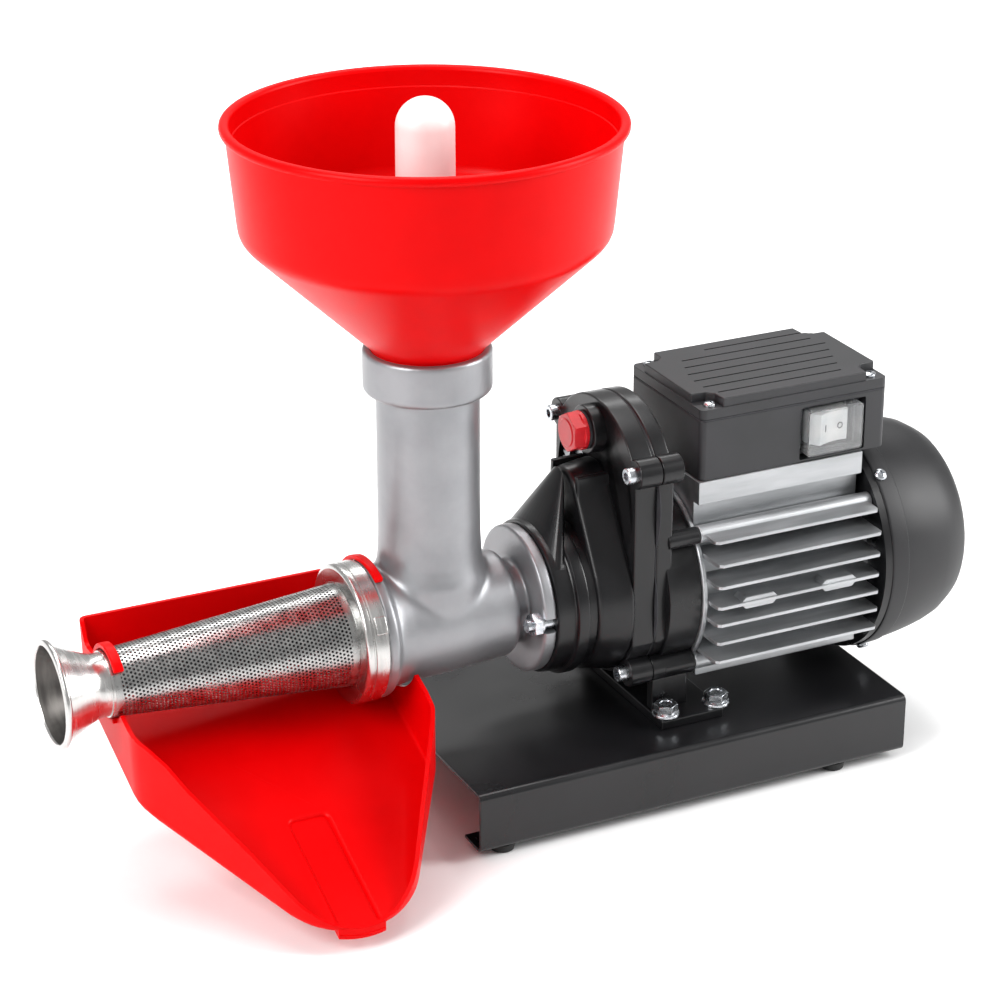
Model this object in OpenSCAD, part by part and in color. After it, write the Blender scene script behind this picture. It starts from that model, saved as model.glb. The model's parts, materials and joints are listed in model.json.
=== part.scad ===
// Electric tomato press: a geared motor on a sheet steel base drives a screw
// that pushes tomatoes from the hopper into a perforated cone.
// The origin is the centre of the base on the table, +X runs along the barrel
// from the waste spout to the motor, and +Z is up.

/* [Base] */
// Length of the base along the machine
base_len = 294; // [270:1:340]
// Width of the base across the machine
base_w = 180; // [160:1:220]
// Height of the folded skirt
base_h = 38; // [30:1:50]
// Thickness of the sheet steel
sheet_t = 2; // [1.5:0.1:3]
// Outer radius of the folds
bend_r = 4; // [3.5:0.5:6]
// Width of the lip folded in under the skirt
lip_w = 22; // [16:1:30]
// How far the rubber feet stand below the skirt
foot_h = 5.5; // [4:0.5:9]
// Radius of a rubber foot
foot_r = 8; // [6:0.5:10]
// Foot places along the base, from its centre
foot_x = [-128, 101];
// Height of the barrel axis above the top of the base
axis_above_base = 76.5; // [74:0.5:95]
// Distance of the feed tube from the middle of the base
feed_offset = 137; // [125:1:150]

/* [Press body] */
// Inner radius of the barrel
barrel_bore = 29.3; // [27:0.1:31]
// Outer radius of the barrel at the feed tube
barrel_r = 35.5; // [34:0.5:40]
// Distance from the feed tube to the screen end of the barrel
barrel_front = 44; // [40:1:55]
// Distance from the feed tube to the drive end of the barrel
barrel_back = 48; // [44:1:60]
// Radius of the flange that carries the screen
socket_r = 41.5; // [40:0.5:46]
// Length of that flange
socket_len = 6.5; // [5:0.5:9]
// Radius of the disc that bolts to the gearbox
disc_r = 45.5; // [42:0.5:47]
// Thickness of that disc
disc_t = 8; // [6:0.5:9]
// Gap between the barrel and the disc
disc_gap = 6.5; // [5:0.5:12]
// Outer radius of the feed tube
tube_r = 30.3; // [29:0.1:33]
// Bore radius of the feed tube
tube_bore = 26.3; // [25:0.1:27]
// Outer radius of the collar at its top
collar_r = 37.8; // [36.5:0.1:42]
// Height of the collar
collar_h = 25.4; // [20:0.1:30]
// Height of the collar's top above the barrel axis
collar_top = 172.2; // [160:0.1:190]
// Wall of the collar
collar_wall = 4.3; // [3:0.1:4.5]

/* [Hopper] */
// Radius of the rim's centre line
rim_r = 112; // [95:1:125]
// Radius of the rolled rim bead
bead_r = 3; // [2:0.5:4]
// Height of the bead's centre above the barrel axis
rim_z = 304.75; // [290:0.25:320]
// Radius of the side wall at its foot
wall_foot_r = 107.5; // [90:0.5:120]
// Height of the side wall's foot above the barrel axis
wall_foot_z = 244; // [235:1:260]
// Wall thickness of the plastic
hopper_t = 2.5; // [1.8:0.1:3]
// Depth to which the neck goes into the collar
neck_depth = 21.9; // [15:0.1:22]
// Radius of the pusher's shaft at the top
pusher_r = 16.8; // [13:0.1:18]
// Height of the pusher's top above the barrel axis
pusher_top = 319.5; // [300:0.5:340]
// Radius of the pusher's foot
pusher_foot_r = 24; // [20:0.5:24.5]

/* [Screen and spout] */
// Radius of the cone at its large end
cone_big = 31; // [30.5:0.1:32]
// Radius of the cone at its small end
cone_small = 19.5; // [17:0.1:22]
// Length of the perforated cone
cone_len = 145; // [130:1:160]
// Thickness of the stainless sheet
screen_t = 0.8; // [0.6:0.1:1]
// Radius of the bayonet ring
ring_r = 42.5; // [42:0.5:48]
// Length of the bayonet ring
ring_len = 15; // [10:0.5:16]
// Length of the waste spout
spout_len = 33.5; // [28:0.5:45]
// Radius of the spout's mouth
spout_r = 32; // [26:0.5:34]

/* [Chute] */
// Wall thickness of the chute
chute_t = 2.5; // [2:0.1:3]
// Slope of its floor, rise over run
chute_slope = 0.39; // [0.33:0.01:0.4]
// Distance from the barrel axis to the tip, towards the front
chute_reach = 148.5; // [130:0.5:160]
// Radius of the rounded tip
tip_r = 44; // [35:1:50]
// Angle at which the sides close in
chute_taper = 32; // [26:1:36]
// Height of the chute's tip above the table
tip_clear = 11; // [9:0.5:20]
// Distance from the barrel axis to the back wall
chute_back = 50.5; // [49:0.5:60]
// Height of the back wall above the barrel axis
chute_rise = 20; // [10:1:26]
// Width of the channel in the floor
channel_w = 25; // [16:1:35]
// Depth of the channel
channel_d = 3; // [2:0.5:4]

/* [Gearbox] */
// Radius of the gearbox nose
nose_r = 47.5; // [46:0.5:49]
// Length of the gearbox nose
nose_len = 25.5; // [24:0.5:32]
// Radius of the collar round the nose
nose_ring_r = 50.5; // [49:0.5:58]
// Depth of the front casing before its flange
front_depth = 22; // [22:0.5:28]
// Thickness of the front casing's flange
flange_t = 14.5; // [14:0.5:18]
// Thickness of the gasket between the casings
gasket_t = 0.5; // [0.4:0.1:1]
// Depth of the rear casing
rear_depth = 11; // [10:0.5:14]
// Length of the neck that carries the motor
motor_neck_len = 18; // [16:0.5:24]
// Radius of that neck
motor_neck_r = 58; // [56:0.5:60]
// Centre distance of both gear pairs
gear_centres = 60;
// Radius of the flange round the layshaft
dome_r = 57; // [55:0.5:62]
// Half width of the flange beside the axis
flange_half = 52; // [51:0.5:55]
// Radius of a casing ear
ear_r = 9; // [8:0.5:11]
// Places of the casing screws across and above the axis
ear_at = [[-50.5, 90], [50, 94], [-43.3, -42.8], [43.3, -42.8]];

/* [Gears] */
// Module of the motor pair
fast_module = 1.25;
// Teeth on the motor pinion
motor_teeth = 24;
// Teeth on the layshaft gear
lay_teeth = 72;
// Module of the output pair
slow_module = 1.5;
// Teeth on the layshaft pinion
pinion_teeth = 18;
// Teeth on the output gear
output_teeth = 62;
// Face width of the motor pair
fast_width = 10; // [8:0.5:10]
// Face width of the output pair
slow_width = 12; // [9:0.5:12]
// Tooth thinning on each flank, measured round the pitch circle
backlash = 0.08; // [0.05:0.01:0.15]

/* [Motor] */
// Length of the ribbed housing
housing_len = 121; // [110:1:150]
// Radius of the housing's round wall
housing_r = 52; // [50.5:0.5:56]
// Bore radius of the housing
housing_bore = 47; // [45:0.5:48]
// Half width over the cooling fins
fin_half = 72; // [64:0.5:76]
// Thickness of a fin
fin_t = 3.2; // [2.5:0.1:4]
// Heights of the fins from the axis
fin_z = [45, 30, 16.5, 3, -9.5, -22, -35];
// Thickness of the end shield
shield_t = 5; // [4:0.5:8]
// Length of the fan cover
cover_len = 67; // [60:1:80]
// Outer radius of the fan cover's rim
cover_r = 74; // [70:0.5:76]
// Wall of the fan cover
cover_t = 2; // [1.5:0.1:3]
// Radius of the motor shaft
motor_shaft_r = 7.5; // [7:0.1:7.5]
// Length of the laminated core
core_len = 65; // [50:1:80]
// Outer radius of the rotor
rotor_r = 28; // [24:0.5:30]
// Number of fan blades
blades = 8; // [5:1:11]

/* [Terminal box] */
// Half width of the terminal box
box_half = 44; // [40:0.5:48]
// Length of the terminal box
box_len = 130; // [120:1:140]
// Height of the terminal box
box_h = 38; // [34:0.5:46]
// Height of the box floor above the barrel axis
box_floor = 74; // [73.5:0.5:78]
// Height of the lid
lid_h = 13; // [10:0.5:16]
// Wall of the box and lid
box_t = 2.5; // [2:0.1:3]
// Length of the rocker switch's frame
switch_len = 42; // [38:0.5:44]
// Height of the rocker switch's frame
switch_h = 33; // [30:0.5:34]
// Tilt of the rocker each way
rocker_tilt = 9; // [6:1:12]
// Radius of the mains cable that the gland takes
cable_r = 3.6; // [3:0.1:4.5]

/* [Fits] */
// Radial clearance of running fits
run_fit = 0.05; // [0.02:0.01:0.09]
// Gap between pieces of different moving groups
gap = 0.3; // [0.3:0.05:0.6]
// Clearance of a plain seated piece
seat = 0.05; // [0.02:0.01:0.1]

/* [Hidden] */
$fn = 96;
tiny = 0.01;

axis_z = foot_h + base_h + axis_above_base;
base_top = foot_h + base_h;
feed_x = -feed_offset;

// Stations along the machine, from the screen to the fan
x_socket = feed_x - barrel_front;
x_neck = feed_x + barrel_back;
x_disc = x_neck + disc_gap;
x_nose = x_disc + disc_t;
x_front = x_nose + nose_len;
x_flange = x_front + front_depth;
x_gasket = x_flange + flange_t;
x_rear = x_gasket + gasket_t;
x_dome = x_rear + rear_depth;
x_motor = x_dome + motor_neck_len;
x_shield = x_motor + housing_len;
x_cover = x_shield + shield_t;
x_end = x_cover + cover_len;
x_cone = x_socket - ring_len;
x_spout = x_cone - cone_len;
x_mouth = x_spout - spout_len;

// Common hardware
m6_r = 3;
m8_r = 4;
m6_head_r = 5;
m6_head_h = 6;
m8_flats = 13;
m8_nut_h = 6.5;
washer_r = 8.5;
washer_t = 1.6;

// Bearings: outer radius, bore radius, width
output_brg = [21, 12.5, 9];
lay_brg = [11, 5, 6];
motor_brg = [17.5, motor_shaft_r, 11];
output_shaft_r = output_brg[1];
brg_gap = 2;
casing_wall = 6;
gear_slack = 2.3;
shield_web = 3;
seal_len = 7;

// Gear places along the machine
x_slow = x_front + casing_wall + brg_gap + 1;
x_fast = x_flange + brg_gap;
x_lay_front = x_front + brg_gap + 0.5;
x_lay_rear = x_rear + 3;
x_brg_a = x_nose + seal_len + 1;
x_brg_b = x_brg_a + output_brg[2] + brg_gap;
x_motor_brg = x_rear + casing_wall;
x_fan_brg = x_cover - shield_web - motor_brg[2];
x_core = x_motor + (housing_len - core_len) / 2;
output_gear_r = slow_module * output_teeth / 2 + slow_module;
lay_gear_r = fast_module * lay_teeth / 2 + fast_module;
lay_pinion_r = slow_module * pinion_teeth / 2 + slow_module;

box_x = x_motor + 4;
box_z = axis_z + box_floor;
lid_z = box_z + box_h;
gasket_h = 1;
pedestal_h = 4;

module on_axis() { translate([0, 0, axis_z]) children(); }
module along_x(x, len) { translate([x, 0, 0]) rotate([90, 0, 90]) linear_extrude(len) children(); }
module rod_x(x, len, r) { translate([x, 0, 0]) rotate([0, 90, 0]) cylinder(r = r, h = len); }
module turned(x) { translate([x, 0, 0]) rotate([0, 90, 0]) rotate_extrude() children(); }
module hex_x(x, len, flats) {
    translate([x, 0, 0]) rotate([0, 90, 0]) cylinder(d = flats / cos(30), h = len, $fn = 6);
}
module both_sides() { children(); mirror([0, 1, 0]) children(); }
module at_ears() { for (p = ear_at) translate([0, p[0], axis_z + p[1]]) children(); }
module ring_2d(outer, inner) { difference() { circle(outer); circle(inner); } }
module round_rect(w, h, r) {
    square([w - 2 * r, h], center = true);
    square([w, h - 2 * r], center = true);
    for (i = [-1, 1], j = [-1, 1]) translate([i * (w / 2 - r), j * (h / 2 - r)]) circle(r);
}
// A circle round the axis joined by its tangents to a smaller one above it
module teardrop(big, small, rise) {
    lean = asin((big - small) / rise);
    circle(big);
    translate([0, rise]) circle(small);
    polygon([[big * cos(lean), big * sin(lean)], [small * cos(lean), rise + small * sin(lean)],
        [-small * cos(lean), rise + small * sin(lean)], [-big * cos(lean), big * sin(lean)]]);
}
// A slice of a ring between two angles, where 0 points up and angles grow towards the back
module ring_slice(outer, inner, from, to) {
    steps = ceil((to - from) / 30);
    reach = outer * 1.2;
    intersection() {
        ring_2d(outer, inner);
        polygon(concat([[0, 0]], [for (i = [0 : steps]) let (a = from + (to - from) * i / steps)
            [reach * sin(a), reach * cos(a)]]));
    }
}

// Base

module base_profile() {
    difference() {
        round_rect(base_w, base_h, bend_r);
        round_rect(base_w - 2 * sheet_t, base_h - 2 * sheet_t, bend_r - sheet_t);
        translate([0, -base_h / 2]) square([base_w - 2 * lip_w, 4 * sheet_t], center = true);
    }
}

foot_y = base_w / 2 - lip_w / 2 + 1;
stem_r = 3;
bracket_x = x_gasket - 1.5;
bracket_len = 45;
bracket_t = 6;
bracket_half = 64;
web_y = abs(ear_at[2][0]);
web_t = 7;
bolt_y = web_y + web_t / 2 + washer_r + gap;
bolt_pitch = 35;
bolt_xs = [bracket_x + 9, bracket_x + 9 + bolt_pitch];
nut_t = 6;

module at_bolts() { for (x = bolt_xs, s = [-1, 1]) translate([x, s * bolt_y, 0]) children(); }
module at_feet() { for (x = foot_x, s = [-1, 1]) translate([x, s * foot_y, 0]) children(); }

module base_plate() {
    color("#17181a")
    difference() {
        translate([0, 0, foot_h + base_h / 2]) along_x(-base_len / 2, base_len) base_profile();
        at_feet() translate([0, 0, foot_h - 1]) cylinder(r = stem_r + seat, h = sheet_t + 2);
        at_bolts() translate([0, 0, base_top - sheet_t - 1]) cylinder(r = m8_r + 0.5, h = sheet_t + 2);
    }
}
module rubber_feet() {
    head_t = 2;
    color("#1d1d1d")
    at_feet() {
        cylinder(r1 = foot_r - 1, r2 = foot_r, h = foot_h - seat);
        cylinder(r = stem_r, h = foot_h + sheet_t + head_t);
        translate([0, 0, foot_h + sheet_t + seat]) cylinder(r = stem_r + 2, h = head_t);
    }
}
module foot_bolts() {
    head_h = 6;
    color("#c4c7ca")
    at_bolts() {
        translate([0, 0, base_top - sheet_t - nut_t - 3])
            cylinder(r = m8_r, h = sheet_t + nut_t + 3 + bracket_t + washer_t);
        translate([0, 0, base_top + bracket_t + seat]) cylinder(r = washer_r, h = washer_t);
        translate([0, 0, base_top + bracket_t + washer_t])
            cylinder(d = m8_flats / cos(30), h = head_h, $fn = 6);
    }
}
module foot_nuts() {
    color("#c4c7ca")
    at_bolts() translate([0, 0, base_top - sheet_t - nut_t - seat])
        difference() {
            cylinder(d = m8_flats / cos(30), h = nut_t, $fn = 6);
            translate([0, 0, -1]) cylinder(r = m8_r + seat, h = nut_t + 2);
        }
}

// Gearbox casings

dome_z = gear_centres + 4;
nose_ring_at = 12;
nose_ring_len = 8;
buttress_rise = gear_centres + 14;
buttress_r = 9;
plug_z = 102;
plug_boss_r = 15;
plug_x = x_flange - 8;

module flange_outline(inset) {
    translate([0, dome_z]) circle(dome_r - inset);
    circle(motor_neck_r - 2 - inset);
    translate([-flange_half + inset, 0]) square([2 * (flange_half - inset), dome_z]);
}
module gear_chamber(x, len) {
    rod_x(x, len, output_gear_r + 0.7);
    translate([0, 0, gear_centres]) rod_x(x, len, lay_gear_r + gear_slack);
}
module front_casing() {
    front_big = 50;
    root_big = 54.5;
    front_small = lay_pinion_r + 4.5;
    color("#161719")
    difference() {
        union() {
            on_axis() {
                rod_x(x_nose, nose_len, nose_r);
                rod_x(x_nose + nose_ring_at, nose_ring_len, nose_ring_r);
                hull() {
                    rod_x(x_nose + 4, 1, nose_r - 0.5);
                    translate([0, 0, buttress_rise]) rod_x(x_front - 4, 1, buttress_r);
                }
                hull() {
                    along_x(x_front, 1) teardrop(front_big, front_small, gear_centres);
                    along_x(x_flange, 1) teardrop(root_big, front_small + 3, gear_centres);
                }
                along_x(x_flange, flange_t) flange_outline(0);
                translate([0, 0, plug_z]) rod_x(plug_x, flange_t + x_flange - plug_x, plug_boss_r);
            }
            at_ears() rod_x(x_flange, flange_t, ear_r);
        }
        on_axis() {
            rod_x(x_nose - 1, nose_len + casing_wall + 2, output_shaft_r + 1);
            rod_x(x_nose - 1, seal_len + 1, output_brg[0]);
            rod_x(x_brg_a, x_front + casing_wall + 1 - x_brg_a, output_brg[0]);
            rod_x(x_front + casing_wall, front_depth + flange_t, output_gear_r + 0.7);
            translate([0, 0, gear_centres]) {
                rod_x(x_lay_front, front_depth, lay_brg[0]);
                rod_x(x_lay_front + lay_brg[2], front_depth, lay_pinion_r + 1);
            }
            gear_chamber(x_flange + seat, flange_t + 1);
            translate([0, 0, plug_z]) rod_x(plug_x - 1, plug_grip + 3, plug_thread_r + 0.1);
            for (p = stud_at) translate([0, p[0], p[1]]) rod_x(x_nose - 1, stud_depth + 1, m8_r);
        }
        at_ears() rod_x(x_flange - 1, flange_t + 2, m6_r + 0.3);
    }
}
module casing_gasket() {
    color("#3a3a38")
    difference() {
        on_axis() along_x(x_gasket, gasket_t) flange_outline(0.5);
        on_axis() gear_chamber(x_gasket - 1, gasket_t + 2);
        at_ears() rod_x(x_gasket - 1, gasket_t + 2, m6_r + 0.3);
    }
}
module cast_foot() {
    ear_z = axis_z + ear_at[2][1];
    web_len = x_motor - bracket_x - 6;
    translate([bracket_x, -bracket_half, base_top]) cube([bracket_len, 2 * bracket_half, bracket_t]);
    both_sides() translate([bracket_x + 3, web_y - web_t / 2, base_top])
        cube([web_len, web_t, ear_z - base_top]);
    translate([x_motor - 10, -web_y, base_top]) cube([7, 2 * web_y, axis_z - motor_neck_r + 12 - base_top]);
}
module rear_casing() {
    bowl_r = 50;
    bowl_len = 10;
    boss_r = motor_brg[0] + 5;
    color("#161719")
    difference() {
        union() {
            on_axis() {
                along_x(x_rear, rear_depth) flange_outline(0);
                rod_x(x_dome - 2, motor_neck_len + 2, motor_neck_r);
                for (p = tie_at) translate([0, p[0], p[1]]) rod_x(x_dome - 2, motor_neck_len + 2, tie_bar_r);
            }
            for (p = ear_at) translate([0, p[0], axis_z + p[1]])
                rod_x(x_rear, p[1] > 0 ? rear_depth + 3 : x_motor - x_rear, ear_r);
            intersection() {
                cast_foot();
                translate([x_rear, -base_w, 0]) cube([base_len, 2 * base_w, axis_z]);
            }
        }
        on_axis() {
            gear_chamber(x_rear - 1, 4);
            rod_x(x_rear, casing_wall, motor_brg[0] + 1);
            rod_x(x_motor_brg, x_motor, motor_brg[0]);
            translate([0, 0, gear_centres]) rod_x(x_rear, 3 + lay_brg[2], lay_brg[0]);
            difference() {
                rod_x(x_motor - bowl_len, bowl_len + 1, bowl_r);
                rod_x(x_motor - bowl_len - 1, bowl_len / 2, boss_r);
            }
            for (p = tie_at) translate([0, p[0], p[1]]) rod_x(x_motor - tie_grip - 1, tie_grip + 2, tie_r);
        }
        for (p = ear_at) translate([0, p[0], axis_z + p[1]])
            rod_x(x_rear - 1, screw_reach(p) - x_rear + 2, m6_r + seat);
        at_bolts() translate([0, 0, base_top - 1]) cylinder(r = m8_r + 0.5, h = bracket_t + 2);
    }
}
tie_grip = 8;
function screw_reach(p) = p[1] > 0 ? x_dome + 2 : x_motor - tie_grip - 3;
module casing_screws() {
    socket_flats = 5;
    socket_deep = 4;
    color("#b9bcc0")
    for (p = ear_at) translate([0, p[0], axis_z + p[1]])
        difference() {
            union() {
                rod_x(x_flange - m6_head_h, m6_head_h - seat, m6_head_r);
                rod_x(x_flange - m6_head_h, screw_reach(p) - x_flange + m6_head_h, m6_r);
            }
            hex_x(x_flange - m6_head_h - 1, socket_deep + 1, socket_flats);
        }
}
plug_thread_r = 8;
plug_flats = 22;
plug_washer_t = 1.5;
plug_grip = 9;
module oil_plug() {
    head_h = 10;
    color("#c8141c")
    on_axis() translate([0, 0, plug_z]) {
        rod_x(plug_x - head_h - 1, head_h + 1 + plug_grip, plug_thread_r);
        hex_x(plug_x - plug_washer_t - head_h, head_h - 2, plug_flats);
        rod_x(plug_x - plug_washer_t - 2, 2 - seat, plug_flats / 2 + 1);
    }
}
module plug_washer() {
    color("#4a4a48")
    on_axis() translate([0, 0, plug_z]) along_x(plug_x - plug_washer_t, plug_washer_t - seat)
        ring_2d(plug_flats / 2 + 1, plug_thread_r + 0.1);
}

// Gears and shafts

pressure_angle = 20;
function inv_deg(a) = tan(a) * 180 / PI - a;
function half_tooth(teeth, pitch_r, r) =
    let (base_r = pitch_r * cos(pressure_angle), a = r > base_r ? acos(base_r / r) : 0)
    90 / teeth - backlash * 180 / PI / pitch_r + inv_deg(pressure_angle) - inv_deg(a);
function gear_points(teeth, mod) =
    let (pitch_r = mod * teeth / 2, root_r = pitch_r - 1.25 * mod, tip_r = pitch_r + 0.95 * mod,
        base_r = pitch_r * cos(pressure_angle), low_r = max(base_r, root_r + 0.1),
        radii = [root_r, low_r, (low_r + pitch_r) / 2, pitch_r, (pitch_r + tip_r) / 2, tip_r],
        last = len(radii) - 1)
    [for (i = [0 : teeth - 1], side = [-1, 1], k = [0 : last])
        let (r = radii[side < 0 ? k : last - k], a = 360 * i / teeth + side * half_tooth(teeth, pitch_r, r))
        [r * cos(a), r * sin(a)]];

// The first tooth points along the given angle in the YZ plane
module gear_x(x, width, teeth, mod, phase, bore) {
    along_x(x, width) difference() {
        rotate(phase) polygon(gear_points(teeth, mod));
        if (bore > 0) circle(bore);
    }
}
up = 90;
down = 270;
drive_flats = 16;
drive_len = 40;
lay_r = 8;

module output_shaft() {
    key_len = x_slow + slow_width - x_nose;
    color("#a9adb1")
    on_axis() {
        rod_x(x_nose + seat, key_len, output_shaft_r - run_fit);
        hex_x(x_nose - drive_len, drive_len + 1, drive_flats);
    }
}
module output_gear() {
    web_t = 4;
    color("#8d9094")
    on_axis() difference() {
        gear_x(x_slow, slow_width, output_teeth, slow_module, up + 180 / output_teeth, output_shaft_r);
        for (x = [x_slow - 1, x_slow + (slow_width + web_t) / 2])
            along_x(x, (slow_width - web_t) / 2 + 1) ring_2d(output_gear_r - 9, output_shaft_r + 7);
    }
}
module bearing(x, size) {
    balls = 9;
    race = (size[0] - size[1]) * 0.28;
    ball_r = (size[0] - size[1]) / 2 - race - seat;
    along_x(x, size[2]) ring_2d(size[0] - seat, size[0] - race);
    along_x(x, size[2]) ring_2d(size[1] + race, size[1] + seat);
    for (i = [0 : balls - 1]) rotate([360 * i / balls, 0, 0])
        translate([x + size[2] / 2, 0, (size[0] + size[1]) / 2]) sphere(r = ball_r);
}
module output_bearings() {
    color("#b4b7ba") on_axis() { bearing(x_brg_a, output_brg); bearing(x_brg_b, output_brg); }
}
module output_seal() {
    color("#2a2a2c")
    on_axis() along_x(x_nose + 0.5, seal_len - 0.5) ring_2d(output_brg[0] - seat, output_shaft_r + run_fit);
}
module layshaft() {
    color("#a9adb1")
    on_axis() translate([0, 0, gear_centres]) {
        rod_x(x_lay_front, x_lay_rear + lay_brg[2] - x_lay_front, lay_brg[1] - run_fit);
        rod_x(x_slow - 0.3, x_lay_rear - 0.3 - x_slow, lay_r);
        gear_x(x_slow, slow_width, pinion_teeth, slow_module, down, 0);
    }
}
module lay_gear() {
    web_t = 4;
    color("#8d9094")
    on_axis() translate([0, 0, gear_centres]) difference() {
        gear_x(x_fast, fast_width, lay_teeth, fast_module, down + 180 / lay_teeth, lay_r + seat);
        for (x = [x_fast - 1, x_fast + (fast_width + web_t) / 2])
            along_x(x, (fast_width - web_t) / 2 + 1) ring_2d(lay_gear_r - 8, lay_r + 6);
    }
}
module layshaft_bearings() {
    color("#b4b7ba")
    on_axis() translate([0, 0, gear_centres]) { bearing(x_lay_front, lay_brg); bearing(x_lay_rear, lay_brg); }
}
module motor_shaft() {
    fan_seat = fan_x + fan_hub_len;
    color("#a9adb1")
    on_axis() {
        rod_x(x_fast, fan_seat - x_fast, motor_shaft_r - run_fit);
        rod_x(x_motor_brg + motor_brg[2] + gap, x_fan_brg - x_motor_brg - motor_brg[2] - 2 * gap, journal_r);
        gear_x(x_fast, fast_width, motor_teeth, fast_module, up, 0);
    }
}

// Motor

air_gap = 0.35;
journal_r = motor_shaft_r + 2.5;
tie_r = 2.5;
tie_bar_r = 5.5;
tie_at = [[-48.5, 42], [48.5, 42], [-46.5, -43], [46.5, -43]];
housing_floor = 52;
wire_x = x_motor + 40;
wire_hole = 24;
fan_x = x_cover + 13;
fan_hub_len = 20;
fan_r = 56;

function fin_tip(z) = min(fin_half, sqrt(pow(fin_half + 7, 2) - z * z));

module rotor_core() {
    color("#70757a")
    on_axis() along_x(x_core, core_len) ring_2d(rotor_r, journal_r + seat);
}
module motor_bearings() {
    color("#b4b7ba") on_axis() { bearing(x_motor_brg, motor_brg); bearing(x_fan_brg, motor_brg); }
}
module stator_core() {
    color("#5f6368")
    on_axis() along_x(x_core, core_len) ring_2d(housing_bore - seat, rotor_r + air_gap);
}
module stator_windings() {
    coil_len = 16;
    coil_mid = 37;
    coil_w = 13;
    color("#a8602c")
    on_axis() for (x = [x_core - coil_len - seat, x_core + core_len + seat])
        turned(x) translate([coil_mid, coil_len / 2]) round_rect(coil_w, coil_len, 4);
}
module motor_housing() {
    fin_root = 30;
    pad_half = 45;
    belly_half = tie_at[3][0];
    color("#b6b9bc")
    difference() {
        union() {
            on_axis() {
                rod_x(x_motor, housing_len, housing_r);
                rod_x(x_motor, 3, motor_neck_r + 2);
                for (z = fin_z) both_sides()
                    translate([x_motor + 3, fin_root, z - fin_t / 2])
                        cube([housing_len - 6, fin_tip(z) - fin_root, fin_t]);
                for (p = tie_at) translate([0, p[0], p[1]]) rod_x(x_motor, housing_len, tie_bar_r);
                translate([x_motor + 3, -pad_half, housing_floor])
                    cube([housing_len - 6, 2 * pad_half, box_floor - housing_floor - seat]);
                translate([x_motor + 3, -pad_half, housing_r * 0.5])
                    cube([housing_len - 6, 2 * pad_half, housing_floor - housing_r * 0.5]);
                translate([x_motor + 3, -belly_half, -housing_floor - 2])
                    cube([housing_len - 6, 2 * belly_half, 14]);
                for (x = [x_motor + 22, x_motor + 76]) both_sides()
                    translate([x, fin_half - 12, fin_z[3] - 4]) cube([27, 11, 8]);
            }
        }
        on_axis() {
            rod_x(x_motor - 1, housing_len + 2, housing_bore);
            for (p = tie_at) translate([0, p[0], p[1]]) rod_x(x_motor - 1, housing_len + 2, tie_r + 0.2);
            translate([wire_x, -wire_hole / 2, housing_r - 12])
                cube([wire_hole, wire_hole, box_floor - housing_r + 14]);
        }
    }
}
module tie_bolts() {
    color("#9a9da1")
    on_axis() for (p = tie_at) translate([0, p[0], p[1]]) {
        rod_x(x_motor - tie_grip, x_cover - x_motor + tie_grip + seat, tie_r - seat);
        hex_x(x_cover + seat, 3.5, 7);
    }
}
module end_shield() {
    boss_r = motor_brg[0] + 5;
    spigot_len = 5;
    lug_half = 5;
    lug_h = 9;
    lug_gap = 1.3;
    boss_len = motor_brg[2] + shield_web + 1;
    color("#2b2d30")
    difference() {
        on_axis() union() {
            rod_x(x_shield + seat, shield_t - seat, cover_r - 1);
            along_x(x_shield - spigot_len, spigot_len + 1) ring_2d(housing_bore - seat, housing_bore - 5);
            rod_x(x_cover - boss_len, boss_len, boss_r);
            for (a = cover_screw_a) rotate([a, 0, 0])
                translate([x_cover - 1, -lug_half, cover_r - cover_t - lug_h - lug_gap])
                    cube([2 * lug_half, 2 * lug_half, lug_h]);
        }
        at_cover_screws() translate([0, 0, -16]) cylinder(r = cover_screw_r + seat, h = 20);
        on_axis() {
            rod_x(x_cover - boss_len - 1, boss_len + 1 - shield_web, motor_brg[0]);
            rod_x(x_cover - shield_web - 1, shield_web + 2, motor_shaft_r + 1);
            for (p = tie_at) translate([0, p[0], p[1]]) rod_x(x_shield - 1, shield_t + 2, tie_r + 0.2);
        }
    }
}
module fan() {
    hub_r = 14;
    back_r = 34;
    blade_t = 2;
    color("#232426")
    on_axis() {
        along_x(fan_x, fan_hub_len) ring_2d(hub_r, motor_shaft_r + seat);
        along_x(fan_x, blade_t) ring_2d(back_r, hub_r - 1);
        for (i = [0 : blades - 1]) rotate([360 * i / blades, 0, 0])
            translate([fan_x, -blade_t / 2, hub_r - 1]) cube([fan_hub_len - 2, blade_t, fan_r - hub_r + 1]);
    }
}
cover_profile = [[cover_r - 1, 0], [cover_r, 1.5], [cover_r - 0.4, 12], [cover_r - 1.6, 19],
    [cover_r - 6, 44], [cover_r - 13.5, cover_len - 7], [cover_r - 18.5, cover_len - 2], [cover_r - 24, cover_len]];
cover_inner = [for (p = cover_profile) [p[0] - cover_t, min(p[1], cover_len - cover_t)]];
module fan_cover() {
    slot_w = 5;
    slot_rings = [18, 27, 36];
    color("#1c1d1f")
    difference() {
        on_axis() turned(x_cover + seat) difference() {
            polygon(concat([[0, 0]], cover_profile, [[0, cover_len]]));
            polygon(concat([[-1, -1], [cover_r - 1 - cover_t, -1]], cover_inner,
                [[-1, cover_len - cover_t]]));
        }
        on_axis() for (r = slot_rings, k = [0 : 5])
            along_x(x_end - cover_t * 3, cover_t * 4)
                ring_slice(r + slot_w / 2, r - slot_w / 2, 60 * k + 8, 60 * k + 52);
        at_cover_screws() translate([0, 0, -12]) cylinder(r = cover_screw_r + seat, h = 24);
    }
}
cover_screw_a = [40, 149, 211, 320];
cover_screw_r = 2;
module at_cover_screws() {
    on_axis() for (a = cover_screw_a) rotate([a, 0, 0])
        translate([x_cover + 4, 0, cover_r]) children();
}
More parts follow.
